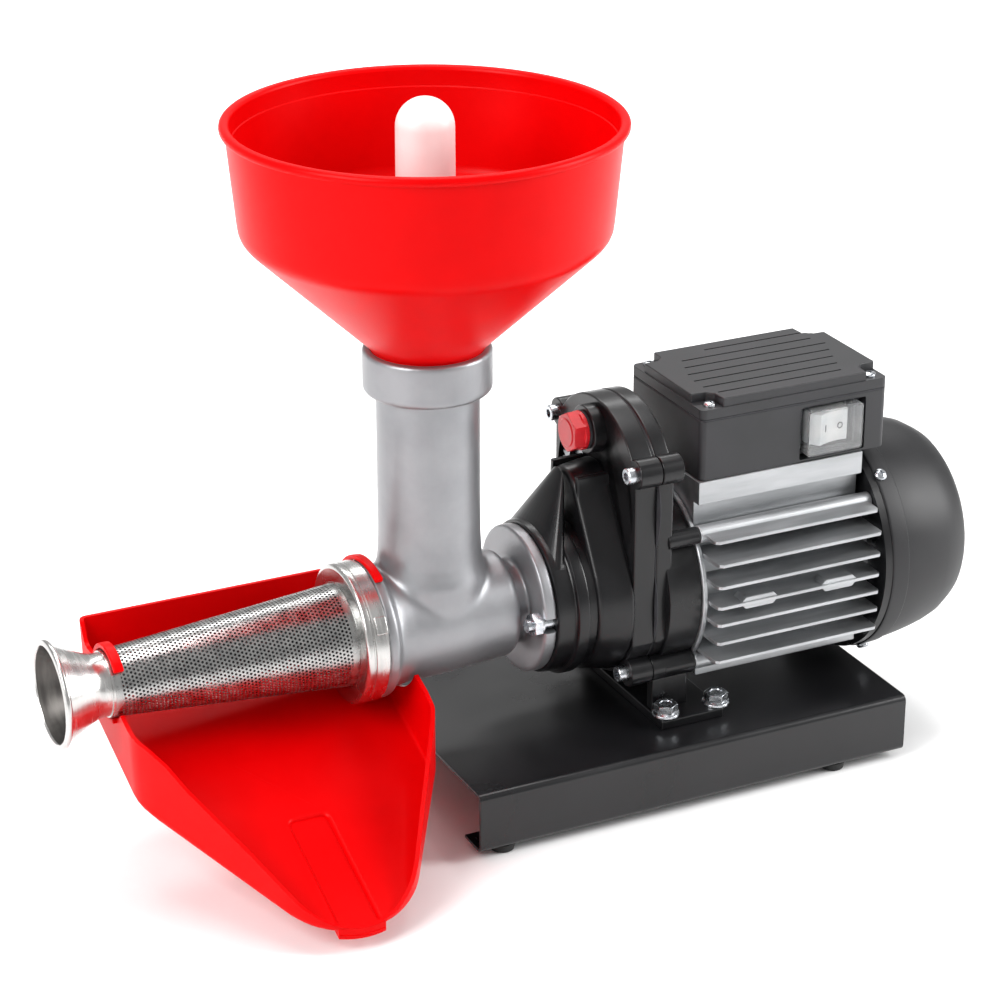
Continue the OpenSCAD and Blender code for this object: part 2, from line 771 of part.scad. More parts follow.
module fan_cover_screws() {
    head_h = 2.4;
    color("#b9bcc0")
    at_cover_screws() difference() {
        union() {
            translate([0, 0, seat]) cylinder(r1 = 4, r2 = 3, h = head_h);
            translate([0, 0, -cover_t - 6]) cylinder(r = cover_screw_r, h = cover_t + 7);
        }
        translate([0, 0, head_h]) for (t = [0, 90]) rotate(t) cube([4, 0.9, 2], center = true);
    }
}

// Terminal box and switch

pocket_d = 10;
pocket_w = switch_len + 4;
pocket_h = switch_h + 1;
switch_x = box_x + box_len - 38;
switch_z = box_z + pocket_h / 2 + 1.5;
switch_y = -box_half + pocket_d;
gland_x = box_x + 30;
lid_screw_x = [box_x + 9, box_x + box_len - 9];
lid_screw_y = box_half - 7;
pillar_r = 5;

module box_outline(inset) {
    translate([box_x + box_len / 2, 0]) round_rect(box_len - 2 * inset, 2 * (box_half - inset), 4 - inset);
}
module at_lid_screws() { for (x = lid_screw_x, s = [-1, 1]) translate([x, s * lid_screw_y, 0]) children(); }
module terminal_box() {
    color("#1a1b1d")
    difference() {
        union() {
            difference() {
                translate([0, 0, box_z]) linear_extrude(box_h) box_outline(0);
                translate([0, 0, box_z + box_t]) linear_extrude(box_h) box_outline(box_t);
            }
            at_lid_screws() translate([0, 0, box_z + 1]) cylinder(r = pillar_r, h = box_h - 1);
            translate([switch_x - pocket_w / 2 - box_t, -box_half + 1, box_z + 0.5])
                cube([pocket_w + 2 * box_t, pocket_d + box_t - 1, pocket_h + 1 + box_t]);
        }
        translate([switch_x - pocket_w / 2, -box_half - 1, switch_z - pocket_h / 2])
            cube([pocket_w, pocket_d + 1, pocket_h]);
        translate([switch_x, switch_y, switch_z]) cube([body_w, 4 * box_t, body_h], center = true);
        translate([gland_x, box_half - 2 * box_t, box_z + box_h / 2]) rotate([-90, 0, 0])
            cylinder(r = gland_thread_r + 0.1, h = 4 * box_t);
        translate([wire_x, -wire_hole / 2, box_z - 1]) cube([wire_hole, wire_hole, box_t + 2]);
        at_lid_screws() translate([0, 0, box_z + box_h - 14]) cylinder(r = 1.8, h = 15);
    }
}
module lid_gasket() {
    color("#303030")
    difference() {
        translate([0, 0, lid_z]) linear_extrude(gasket_h) box_outline(0);
        translate([0, 0, lid_z - 1]) linear_extrude(gasket_h + 2) box_outline(box_t);
    }
}
module box_lid() {
    notch = 15;
    deep = lid_h - 5;
    groove_w = 1.5;
    grooves = 7;
    top = lid_z + lid_h;
    color("#1a1b1d")
    difference() {
        translate([0, 0, lid_z + gasket_h]) linear_extrude(lid_h - gasket_h) box_outline(0);
        difference() {
            translate([0, 0, lid_z]) linear_extrude(lid_h - 2 * box_t) box_outline(box_t);
            at_lid_screws() translate([0, 0, lid_z]) cylinder(r = pillar_r, h = lid_h);
        }
        for (x = [box_x - 1, box_x + box_len - notch + 1], y = [-box_half - 1, box_half - notch + 1])
            translate([x, y, top - deep + box_t]) cube([notch, notch, deep]);
        for (i = [0 : grooves - 1])
            translate([box_x + 20, (i - (grooves - 1) / 2) * 11 - groove_w / 2, top - 1.2])
                cube([box_len - 40, groove_w, 3]);
        at_lid_screws() translate([0, 0, lid_z]) cylinder(r = 2.3, h = lid_h + 1);
    }
}
module lid_screws() {
    seat_z = lid_z + 5 + box_t;
    color("#b9bcc0")
    at_lid_screws() difference() {
        union() {
            translate([0, 0, seat_z + seat]) cylinder(r1 = 4, r2 = 3.2, h = 2.4);
            translate([0, 0, lid_z - 10]) cylinder(r = 1.75, h = seat_z - lid_z + 11);
        }
        translate([0, 0, seat_z + 2.6]) for (t = [0, 90]) rotate(t) cube([4, 0.9, 2], center = true);
    }
}
module capacitor() {
    can_r = 14;
    can_len = 48;
    color("#d7d9da")
    translate([0, 18, box_z + box_t + can_r + seat]) rod_x(box_x + box_len - 16 - can_len, can_len, can_r);
}
module terminal_block() {
    color("#e6e3da")
    translate([box_x + 10, -20, box_z + box_t + seat]) difference() {
        cube([22, 40, 13]);
        for (i = [0 : 3]) translate([-1, 6 + 9.3 * i, 7]) rotate([0, 90, 0]) cylinder(r = 2, h = 24);
    }
}
gland_thread_r = 6;
module cable_gland() {
    nut_flats = 17;
    nut_h = 5;
    dome_r1 = 8;
    color("#26272a")
    translate([gland_x, box_half, box_z + box_h / 2]) rotate([-90, 0, 0]) difference() {
        union() {
            translate([0, 0, -box_t - 6]) cylinder(r = gland_thread_r, h = box_t + 8);
            translate([0, 0, -box_t - 4.5 - seat]) cylinder(d = nut_flats / cos(30), h = 4.5, $fn = 6);
            translate([0, 0, seat]) cylinder(d = nut_flats / cos(30), h = nut_h, $fn = 6);
            translate([0, 0, nut_h]) cylinder(r1 = dome_r1, r2 = dome_r1 - 2, h = 9);
        }
        translate([0, 0, -box_t - 7]) cylinder(r = cable_r, h = box_t + 7 + nut_h + 10);
    }
}
bezel_t = 3;
body_w = switch_len - 8;
body_h = switch_h - 7;
rocker_len = 26;
rocker_h = 20;
rocker_r = 14;
module at_switch() { translate([switch_x, switch_y, switch_z]) rotate([90, 0, 0]) children(); }
module switch_bezel() {
    color("#222326")
    at_switch() translate([0, 0, seat]) linear_extrude(bezel_t) difference() {
        round_rect(switch_len, switch_h, 2);
        round_rect(body_w, body_h, 1.5);
    }
}
module switch_body() {
    depth = 24;
    tab_len = 8;
    color("#2b2c2f")
    at_switch() {
        difference() {
            translate([0, 0, -depth / 2]) cube([body_w - 0.4, body_h - 0.4, depth], center = true);
            cube([rocker_len + 3, rocker_h + 1, 2 * rocker_r + 2], center = true);
        }
        for (x = [-8, 0, 8])
            translate([x, 0, -depth - tab_len / 2 + 0.5]) cube([0.8, 6, tab_len], center = true);
    }
}
module switch_rocker() {
    dish_r = 30;
    dish_at = 7;
    color("#eeeeec")
    at_switch() rotate([0, rocker_tilt, 0]) rotate([90, 0, 0]) translate([0, 0, -rocker_h / 2]) difference() {
        cylinder(r = rocker_r - gap, h = rocker_h);
        translate([0, dish_at + dish_r, -1]) cylinder(r = dish_r, h = rocker_h + 2);
    }
}
module switch_cover() {
    dome_h = 11;
    wall = 1.2;
    inset = 3;
    color([0.92, 0.95, 0.97, 0.35])
    at_switch() translate([0, 0, bezel_t + 2 * seat]) difference() {
        linear_extrude(dome_h) round_rect(switch_len - inset, switch_h - inset, 2);
        translate([0, 0, -1]) linear_extrude(dome_h - wall + 1)
            round_rect(switch_len - inset - 2 * wall, switch_h - inset - 2 * wall, 1.2);
    }
}

// Press body and drive

stud_depth = 12;
slot_half = m8_r + 0.6;
stud_ring = disc_r - 7;
stud_at = [[-stud_ring, 0], [stud_ring, 0]];
barrel_len = barrel_front + barrel_back;
module press_body() {
    back_r = barrel_r - 2.5;
    neck_r = 24;
    mouth = 3;
    flare = 8;
    color("#c3c5c8")
    difference() {
        union() {
            on_axis() {
                turned(x_socket) polygon([[0, 0], [socket_r, 0], [socket_r, socket_len],
                    [socket_r - 4, socket_len + 3], [barrel_r + 0.6, socket_len + 14],
                    [barrel_r, barrel_front], [back_r, barrel_len - 3], [back_r - 3, barrel_len], [neck_r, barrel_len],
                    [neck_r, barrel_len + disc_gap + 1], [0, barrel_len + disc_gap + 1]]);
                rod_x(x_disc, disc_t, disc_r);
            }
            translate([feed_x, 0, axis_z]) {
                cylinder(r = tube_r, h = collar_top - collar_h + 1);
                translate([0, 0, collar_top - collar_h]) rotate_extrude()
                    polygon([[0, 0], [collar_r - 2.5, 0], [collar_r, 2.5], [collar_r, collar_h - 1],
                        [collar_r - 1, collar_h], [0, collar_h]]);
                translate([0, 0, barrel_r - 6]) rotate_extrude()
                    polygon([[0, -12], [tube_r + 1, -12], [tube_r + 3.2, 0], [tube_r + 1.2, flare],
                        [tube_r, flare * 2], [0, flare * 2]]);
            }
        }
        on_axis() {
            rod_x(x_socket - 1, barrel_len - mouth + 1, barrel_bore);
            rod_x(x_neck - mouth - 1, disc_gap + disc_t + mouth + 2, drive_flats / 2 + 2.5);
            for (s = [-1, 1]) translate([x_disc - 1, s * (disc_r - 7 + m8_r) - m8_r * 2, -slot_half])
                cube([disc_t + 2, m8_r * 4 + 2, 2 * slot_half]);
        }
        translate([feed_x, 0, axis_z]) {
            cylinder(r = tube_bore, h = collar_top + 1);
            translate([0, 0, collar_top - neck_depth - gap])
                cylinder(r = collar_r - collar_wall, h = collar_h);
        }
    }
}
stud_out = m8_nut_h + 3;
module flange_studs() {
    color("#c0c3c6")
    on_axis() for (p = stud_at) translate([0, p[0], p[1]])
        rod_x(x_disc - stud_out, stud_out + disc_t + stud_depth - 1, m8_r - seat);
}
module flange_nuts() {
    color("#c0c3c6")
    on_axis() for (p = stud_at) translate([0, p[0], p[1]]) difference() {
        union() {
            hex_x(x_disc - m8_nut_h, m8_nut_h - 1, m8_flats);
            rod_x(x_disc - 1.5, 1.5 - seat, m8_flats / 2);
        }
        rod_x(x_disc - m8_nut_h - 1, m8_nut_h + 2, m8_r);
    }
}

// Screw: the flight winds round a core that thins towards the spout
flight_pitch = 34;
flight_steps = 20;
flight_root = 7;
flight_tip = 3;
flight_start = x_neck - 8;
flight_end = x_spout + 6;
cone_rate = (cone_big - cone_small) / cone_len;
function cone_inside(x) = cone_small - screen_t + (x - x_spout) * cone_rate;
function flight_r(x) = min(barrel_bore - 1, cone_inside(x) - 1);
function core_r(x) = x > x_cone ? 13 : 13 - (x_cone - x) * 4 / cone_len;
function flight_ring(k) =
    let (x = flight_start - flight_pitch * k / flight_steps, a = 360 * k / flight_steps,
        ri = core_r(x) - 1.5, ro = flight_r(x))
    [[x - flight_root / 2, ri * sin(a), ri * cos(a)], [x + flight_root / 2, ri * sin(a), ri * cos(a)],
     [x + flight_tip / 2, ro * sin(a), ro * cos(a)], [x - flight_tip / 2, ro * sin(a), ro * cos(a)]];
module flight() {
    turns = floor((flight_start - flight_end) / flight_pitch * flight_steps);
    points = [for (k = [0 : turns], p = flight_ring(k)) p];
    sides = [for (k = [0 : turns - 1], j = [0 : 3]) let (a = 4 * k + j, b = 4 * k + (j + 1) % 4)
        each [[a, b, b + 4], [a, b + 4, a + 4]]];
    end = 4 * turns;
    caps = [[3, 2, 1], [3, 1, 0], [end, end + 1, end + 2], [end, end + 2, end + 3]];
    polyhedron(points, concat(sides, caps));
}
module auger() {
    hub_len = flight_start + 4 - x_cone;
    color("#e4e4df")
    on_axis() difference() {
        union() {
            flight();
            rod_x(x_cone - tiny, hub_len + tiny, core_r(x_cone + 1));
            turned(flight_end - 3) polygon([[0, 0], [core_r(flight_end) - 2, 0], [core_r(flight_end), 2],
                [core_r(x_cone), x_cone - flight_end + 3], [0, x_cone - flight_end + 3]]);
        }
        hex_x(x_nose - drive_len - 1, drive_len + 1, drive_flats + 2 * run_fit);
    }
}

// Screen and spout

module bayonet_ring() {
    lugs = 3;
    web = 1.5;
    inner_r = ring_r - 5.2;
    hole_r = cone_big + 1 + seat;
    color("#c9cbcd")
    on_axis() {
        turned(x_cone) polygon([[hole_r, 0], [ring_r - 2, 0], [ring_r, 2], [ring_r, ring_len - 1],
            [ring_r - 1, ring_len - seat], [inner_r, ring_len - seat], [inner_r, web], [hole_r, web]]);
        for (i = [0 : lugs - 1]) rotate([120 * i + 62, 0, 0])
            along_x(x_cone + ring_len - 8, 7) ring_slice(ring_r + 1.6, ring_r - 0.5, -9, 9);
    }
}
module filter_cone() {
    color("#b5b8bb")
    on_axis() turned(x_spout) polygon([[cone_small, 0], [cone_big, cone_len], [cone_big + 1, cone_len],
        [cone_big + 1, cone_len + ring_len - 1], [cone_big + 1 - screen_t, cone_len + ring_len - 1],
        [cone_big - screen_t, cone_len - 1], [cone_small - screen_t, 0]]);
}
module waste_spout() {
    neck_r = 18.7;
    neck_len = 8;
    lip = 2.2;
    wall = 1.3;
    flare_r = spout_r - 2;
    flare_len = spout_len - neck_len - 8;
    color("#c9cbcd")
    on_axis() turned(x_mouth) difference() {
        union() {
            polygon([[0, 0], [flare_r, 0], [flare_r - 1.5, 5], [neck_r + 3, flare_len],
                [neck_r, spout_len - neck_len], [neck_r, spout_len - 1.5], [cone_small, spout_len - 1.5],
                [cone_small, spout_len - seat], [0, spout_len - seat]]);
            translate([spout_r - lip, lip]) circle(lip, $fn = 32);
            square([spout_r - lip, lip]);
        }
        polygon([[0, -1], [flare_r - wall, -1], [flare_r - wall - 1.8, 5], [neck_r + 3 - wall, flare_len],
            [neck_r - wall, spout_len - neck_len], [neck_r - wall, spout_len + 1], [0, spout_len + 1]]);
    }
}

// Hopper and pusher, in heights above the barrel axis

neck_wall = 2.6;
hopper_neck_r = collar_r - collar_wall - gap;
hopper_inner_r = hopper_neck_r - neck_wall;
cone_foot_z = collar_top + 2;
cone_foot_r = hopper_neck_r + 2.5;
knuckle = 6;
module hopper() {
    color("#d41217")
    translate([feed_x, 0, axis_z]) rotate_extrude() {
        polygon([[hopper_inner_r, collar_top - neck_depth], [hopper_neck_r, collar_top - neck_depth],
            [hopper_neck_r, collar_top], [cone_foot_r, cone_foot_z + 1],
            [wall_foot_r - knuckle * 0.7, wall_foot_z - knuckle * 0.9], [wall_foot_r - 1, wall_foot_z - 1],
            [wall_foot_r, wall_foot_z + 3], [rim_r, rim_z],
            [rim_r - hopper_t, rim_z], [wall_foot_r - hopper_t, wall_foot_z + 4],
            [wall_foot_r - knuckle * 0.7 - hopper_t, wall_foot_z - knuckle * 0.9 + hopper_t],
            [hopper_inner_r, cone_foot_z + hopper_t]]);
        translate([rim_r, rim_z]) circle(bead_r, $fn = 32);
    }
}
pusher_low = barrel_bore - 0.6;
module pusher() {
    foot_len = 12;
    top_r = pusher_r;
    low_r = pusher_r + 1.2;
    color("#f1f1ee")
    translate([feed_x, 0, axis_z]) {
        translate([0, 0, pusher_low]) cylinder(r = pusher_foot_r, h = foot_len);
        translate([0, 0, pusher_low + foot_len - tiny])
            cylinder(r1 = pusher_foot_r, r2 = low_r, h = 10);
        translate([0, 0, pusher_low + foot_len + 9])
            cylinder(r1 = low_r, r2 = top_r, h = pusher_top - top_r - pusher_low - foot_len - 9);
        translate([0, 0, pusher_top - top_r]) sphere(r = top_r);
    }
}

// Chute: a scoop with a sloping floor, clipped round the spout neck and the barrel

chute_left = x_spout + 1;
chute_right = feed_x - 23;
tip_shift = 6;
tip_x = (chute_left + chute_right) / 2 + tip_shift;
tip_y = tip_r - chute_reach;
clip_wall = 3;
neck_clip_r = cone_small + 0.8 + gap;
barrel_clip_r = socket_r + gap + 0.2;
clip_w = 5;
channel_end = -68;
channel_x = tip_x - 3;
wall_room = barrel_r + 2.5;

function floor_at(y) = tip_clear + chute_slope * (y + chute_reach);
// Where the tapering side meets an end wall that stands this far from the tip's middle
function corner_y(half, inset) =
    tip_y + (half * cos(chute_taper) - tip_r - inset * (cos(chute_taper) - 1)) / sin(chute_taper);

tip_steps = 16;
module chute_plan(inset) {
    left_half = tip_x - chute_left;
    right_half = chute_right - tip_x;
    r = tip_r - inset;
    half_arc = 90 - chute_taper;
    translate([tip_x, 0]) polygon(concat(
        [[-left_half + inset, chute_back - inset], [-left_half + inset, corner_y(left_half, inset)]],
        [for (i = [0 : tip_steps]) let (a = half_arc * (2 * i / tip_steps - 1))
            [r * sin(a), tip_y - r * cos(a)]],
        [[right_half - inset, corner_y(right_half, inset)], [right_half - inset, chute_back - inset]]));
}
// Side view of the wall tops, from the back wall down to the tip
module chute_side(lift, top) {
    rim = [[chute_back + 1, chute_rise], [chute_back - 4, chute_rise], [chute_back - 10, 6], [8, 6],
        [-14, -12], [-52, -27], [-68, -41], [-104, -67], [-128, -86], [-chute_reach - 1, -106]];
    front = -chute_reach - 10;
    polygon(concat([[front, floor_at(front) + lift]], [[chute_back + 1, floor_at(chute_back + 1) + lift]],
        top ? [[chute_back + 1, axis_z + 200], [front, axis_z + 200]]
            : concat([for (p = rim) [p[0], p[1] + axis_z]], [[front, floor_at(front) + lift + 1]])));
}
module chute_body() {
    long = chute_right - chute_left + 2;
    difference() {
        intersection() {
            linear_extrude(axis_z + 60) chute_plan(0);
            along_x(chute_left - 1, long) chute_side(0, false);
        }
        intersection() {
            linear_extrude(axis_z + 60) chute_plan(chute_t);
            along_x(chute_left - 1, long) chute_side(chute_t, true);
        }
    }
}
module channel(wide, low, high) {
    far = channel_end + (wide - channel_w) / 2;
    along_x(channel_x - wide / 2, wide) polygon([[-chute_reach - 1, floor_at(-chute_reach - 1) + low],
        [far, floor_at(far) + low],
        [far, floor_at(far) + high],
        [-chute_reach - 1, floor_at(-chute_reach - 1) + high]]);
}
module chute() {
    hook_x = x_socket + 0.5;
    bite = 1;
    color("#d41217")
    difference() {
        union() {
            difference() {
                union() {
                    chute_body();
                    channel(channel_w + 2 * chute_t, -channel_d, chute_t - bite);
                }
                translate([0, 0, axis_z]) {
                    rod_x(chute_left - 3, clip_w + 8, neck_clip_r + bite);
                    rod_x(hook_x - 1, clip_w + 8, barrel_clip_r + bite);
                    rod_x(hook_x, clip_w + 30, wall_room);
                }
            }
            translate([0, 0, axis_z]) {
                along_x(chute_left - bite, clip_w + bite)
                    ring_slice(neck_clip_r + clip_wall, neck_clip_r, -50, 205);
                along_x(hook_x, clip_w) ring_slice(barrel_clip_r + clip_wall, barrel_clip_r, -26, 130);
                translate([hook_x, barrel_clip_r + bite, -28])
                    cube([clip_w, chute_back - barrel_clip_r - bite - 0.5, 44]);
            }
        }
        channel(channel_w, chute_t - channel_d, chute_t + 40);
    }
}

base_plate();
rubber_feet();
foot_bolts();
foot_nuts();
front_casing();
casing_gasket();
rear_casing();
casing_screws();
oil_plug();
plug_washer();
output_shaft();
output_gear();
output_bearings();
output_seal();
layshaft();
lay_gear();
layshaft_bearings();
motor_shaft();
rotor_core();
motor_bearings();
stator_core();
stator_windings();
motor_housing();
tie_bolts();
end_shield();
fan();
fan_cover();
fan_cover_screws();
terminal_box();
lid_gasket();
box_lid();
lid_screws();
capacitor();
terminal_block();
cable_gland();
switch_bezel();
switch_body();
switch_rocker();
switch_cover();
press_body();
flange_studs();
flange_nuts();
auger();
bayonet_ring();
filter_cone();
waste_spout();
hopper();
pusher();
chute();
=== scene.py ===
import json
import math

import bpy
from mathutils import Matrix, Vector

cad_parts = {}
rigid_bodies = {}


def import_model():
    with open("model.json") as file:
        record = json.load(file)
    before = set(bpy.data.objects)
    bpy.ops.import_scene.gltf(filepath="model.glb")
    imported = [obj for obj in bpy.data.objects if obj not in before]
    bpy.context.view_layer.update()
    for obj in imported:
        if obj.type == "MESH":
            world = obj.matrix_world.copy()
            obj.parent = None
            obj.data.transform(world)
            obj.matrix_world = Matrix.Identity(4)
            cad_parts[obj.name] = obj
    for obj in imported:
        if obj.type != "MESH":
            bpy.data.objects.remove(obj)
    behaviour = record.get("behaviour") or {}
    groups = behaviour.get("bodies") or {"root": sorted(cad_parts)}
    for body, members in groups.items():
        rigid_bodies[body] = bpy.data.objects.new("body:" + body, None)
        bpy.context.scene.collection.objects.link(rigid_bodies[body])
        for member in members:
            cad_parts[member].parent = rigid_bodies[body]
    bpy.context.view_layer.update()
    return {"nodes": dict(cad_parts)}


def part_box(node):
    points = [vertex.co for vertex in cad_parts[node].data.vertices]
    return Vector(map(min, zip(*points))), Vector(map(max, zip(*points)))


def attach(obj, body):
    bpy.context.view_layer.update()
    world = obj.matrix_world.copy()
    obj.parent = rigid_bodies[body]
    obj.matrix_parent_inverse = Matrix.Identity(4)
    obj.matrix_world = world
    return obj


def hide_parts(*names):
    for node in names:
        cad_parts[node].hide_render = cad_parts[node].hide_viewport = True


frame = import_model()

# Lengths are written in millimetres and become metres here
MM = 0.001
# Points that lie nearer than this are one
SAME_POINT = 0.002
AXES = {"X": Vector((1, 0, 0)), "Y": Vector((0, 1, 0)), "Z": Vector((0, 0, 1))}
ACROSS = {"X": (1, 2), "Y": (0, 2), "Z": (0, 1)}


def low(node, axis):
    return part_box(node)[0]["XYZ".index(axis)] / MM


def high(node, axis):
    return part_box(node)[1]["XYZ".index(axis)] / MM


def middle(node, axis):
    return (low(node, axis) + high(node, axis)) / 2


# Stations along the machine and heights, read from the fixed frame
AXIS_Z = middle("output_shaft", "Z")
FEED_X = middle("hopper", "X")
SOCKET_X = low("press_body", "X")
NOSE_X = low("front_casing", "X")
FLANGE_X = low("casing_screws", "X") + 6
SPLIT_X = high("front_casing", "X")
REAR_X = low("rear_casing", "X")
MOTOR_X = low("motor_housing", "X")
SHIELD_X = high("motor_housing", "X")
COVER_X = low("fan_cover", "X") - 0.05
END_X = high("fan_cover", "X")
CONE_X = low("filter_cone", "X")
RING_X = low("bayonet_ring", "X")
MOUTH_X = low("waste_spout", "X")
BASE_TOP = high("base_plate", "Z")
BOX_X = low("terminal_box", "X")
BOX_END = high("terminal_box", "X")
BOX_Z = low("terminal_box", "Z")
LID_Z = low("box_lid", "Z")
LID_TOP = high("box_lid", "Z")
BOX_HALF = high("box_lid", "Y")
SEAT = 0.05

# Modelling steps


def mm(x, y, z):
    return Vector((x, y, z)) * MM


def deselect():
    bpy.ops.object.select_all(action="DESELECT")


def only(piece):
    deselect()
    piece.select_set(True)
    bpy.context.view_layer.objects.active = piece


def edit(piece):
    only(piece)
    bpy.ops.object.mode_set(mode="EDIT")
    bpy.ops.mesh.select_all(action="SELECT")


def leave():
    bpy.ops.object.mode_set(mode="OBJECT")


def settle(piece):
    """Puts the object at the origin and its place in its mesh."""
    only(piece)
    bpy.ops.object.transform_apply(location=True, rotation=True, scale=True)
    return piece


def apply(piece, kind, **settings):
    only(piece)
    modifier = piece.modifiers.new(kind.title(), kind)
    for name, value in settings.items():
        setattr(modifier, name, value)
    bpy.ops.object.modifier_apply(modifier=modifier.name)
    return piece


def carve(piece, operation, tools):
    for tool in tools:
        apply(piece, "BOOLEAN", operation=operation, object=tool, solver="MANIFOLD")
        bpy.data.objects.remove(tool)
    return piece


def cut(piece, *tools):
    return carve(piece, "DIFFERENCE", tools)


def unite(piece, *tools):
    return carve(piece, "UNION", tools)


def soften(piece, width, segments=2, angle=40):
    return apply(
        piece, "BEVEL", width=width * MM, segments=segments,
        limit_method="ANGLE", angle_limit=math.radians(angle),
    )


def remove(piece, kind, unwanted):
    """Deletes the vertices, VERT, or the faces, FACE, for which a test holds."""
    edit(piece)
    bpy.ops.mesh.select_mode(type=kind)
    bpy.ops.mesh.select_all(action="DESELECT")
    leave()
    for element in piece.data.vertices if kind == "VERT" else piece.data.polygons:
        element.select = unwanted(element)
    bpy.ops.object.mode_set(mode="EDIT")
    bpy.ops.mesh.delete(type=kind)
    bpy.ops.mesh.select_mode(type="VERT")
    leave()


def shade(piece, angle=32):
    only(piece)
    bpy.ops.object.shade_smooth_by_angle(angle=math.radians(angle))
    return apply(piece, "WEIGHTED_NORMAL", keep_sharp=True)


def join(pieces):
    deselect()
    for piece in pieces:
        piece.select_set(True)
    bpy.context.view_layer.objects.active = pieces[0]
    bpy.ops.object.join()
    return pieces[0]


def duplicate(piece):
    only(piece)
    bpy.ops.object.duplicate()
    return bpy.context.object


def moved_copies(piece, moves):
    """The piece and its copies, each moved by a vector in millimetres, as one object."""
    made = []
    for move in moves:
        one = duplicate(piece)
        one.location = Vector(move) * MM
        made.append(settle(one))
    bpy.data.objects.remove(piece)
    return join(made)


def turned_copies(piece, angles, axis="X", centre=None):
    """The piece turned about an axis through a point, once for each angle, as one object."""
    centre = centre or mm(0, 0, AXIS_Z)
    made = []
    for angle in angles:
        one = duplicate(piece)
        turn = Matrix.Rotation(math.radians(angle), 4, axis)
        one.matrix_world = Matrix.Translation(centre) @ turn @ Matrix.Translation(-centre)
        made.append(settle(one))
    bpy.data.objects.remove(piece)
    return join(made)


def mirrored(piece):
    """The piece and its mirror image across the machine, as one object."""
    other = duplicate(piece)
    other.scale = (1, -1, 1)
    settle(other)
    edit(other)
    bpy.ops.mesh.normals_make_consistent(inside=False)
    leave()
    return join([piece, other])


def chain(name, points, closed):
    """One vertex pushed from point to point. Leaves the piece in edit mode, all selected."""
    deselect()
    bpy.ops.mesh.primitive_plane_add(size=MM, location=points[0])
    piece = settle(bpy.context.object)
    piece.name = name
    edit(piece)
    bpy.ops.mesh.merge(type="CENTER")
    ends = points[1:] + (points[:1] if closed else [])
    for start, end in zip(points, ends):
        bpy.ops.mesh.extrude_region_move(TRANSFORM_OT_translate={"value": end - start})
    bpy.ops.mesh.select_all(action="SELECT")
    bpy.ops.mesh.remove_doubles(threshold=SAME_POINT * MM)
    return piece


def lathe(name, profile, centre, along="X", steps=128):
    """Spins points, as distance along and radius, round an axis. From axis to axis they make a solid."""
    axis = AXES[along]
    side = AXES["X"] if along == "Z" else AXES["Z"]
    solid = profile[0][1] == 0 and profile[-1][1] == 0
    points = [centre + (axis * at + side * radius) * MM for at, radius in profile]
    piece = chain(name, points, closed=not solid)
    bpy.ops.mesh.spin(steps=steps, angle=math.tau, center=centre, axis=axis)
    bpy.ops.mesh.select_all(action="SELECT")
    bpy.ops.mesh.remove_doubles(threshold=SAME_POINT * MM)
    bpy.ops.mesh.normals_make_consistent(inside=False)
    leave()
    return piece


def prism(name, outline, start, depth, along="X"):
    """Fills a closed outline on the other two axes and pushes it along an axis."""
    first, second = ACROSS[along]
    points = []
    for a, b in outline:
        point = AXES[along] * start
        point[first] = a
        point[second] = b
        points.append(point * MM)
    piece = chain(name, points, closed=True)
    bpy.ops.mesh.edge_face_add()
    bpy.ops.mesh.extrude_region_move(TRANSFORM_OT_translate={"value": AXES[along] * depth * MM})
    bpy.ops.mesh.select_all(action="SELECT")
    bpy.ops.mesh.normals_make_consistent(inside=False)
    leave()
    return piece


def block(name, corner, opposite):
    """A box between two opposite corners, given in either order."""
    near = Vector(min(pair) for pair in zip(corner, opposite)) * MM
    far = Vector(max(pair) for pair in zip(corner, opposite)) * MM
    deselect()
    bpy.ops.mesh.primitive_cube_add(size=1, location=(near + far) / 2, scale=far - near)
    piece = settle(bpy.context.object)
    piece.name = name
    return piece


def rod(name, start, length, radius, along="X", sides=64, end_radius=None):
    """A round bar, or a tapered one, from a start point along an axis."""
    deselect()
    axis = AXES[along]
    place = (Vector(start) + axis * length / 2) * MM
    turn = axis.to_track_quat("Z", "Y").to_euler()
    tip = radius if end_radius is None else end_radius
    bpy.ops.mesh.primitive_cone_add(
        vertices=sides, radius1=radius * MM, radius2=tip * MM, depth=length * MM,
        location=place, rotation=turn,
    )
    piece = settle(bpy.context.object)
    piece.name = name
    return piece


def arc(centre, radius, start, end, steps):
    """Points of an arc in degrees, anticlockwise where end is the larger."""
    return [
        (
            centre[0] + radius * math.cos(math.radians(start + (end - start) * i / steps)),
            centre[1] + radius * math.sin(math.radians(start + (end - start) * i / steps)),
        )
        for i in range(steps + 1)
    ]


def rounded(half_a, half_b, radius, centre=(0, 0), steps=6):
    """A rectangle with round corners."""
    points = []
    for quarter, (a, b) in enumerate(((1, 1), (-1, 1), (-1, -1), (1, -1))):
        corner = (centre[0] + a * (half_a - radius), centre[1] + b * (half_b - radius))
        points += arc(corner, radius, 90 * quarter, 90 * quarter + 90, steps)
    return points


def hexagon(name, flats, height, bore=0):
    """A hexagon head or nut standing on the XY plane, with its corners turned off."""
    corner = flats / 2 / math.cos(math.radians(30))
    piece = rod(name, (0, 0, 0), height, corner, along="Z", sides=6)
    outline = [
        (-1, 0), (-1, corner + 3), (height - 1.1, corner + 0.6), (height + 0.1, flats / 2 - 0.4),
        (height + 0.1, 0),
    ]
    turned_off = lathe("turned_off", outline, mm(0, 0, 0), along="Z", steps=48)
    apply(piece, "BOOLEAN", operation="INTERSECT", object=turned_off, solver="EXACT")
    bpy.data.objects.remove(turned_off)
    if bore:
        cut(piece, rod("bore", (0, 0, -1), height + 2, bore, along="Z", sides=32))
    return piece


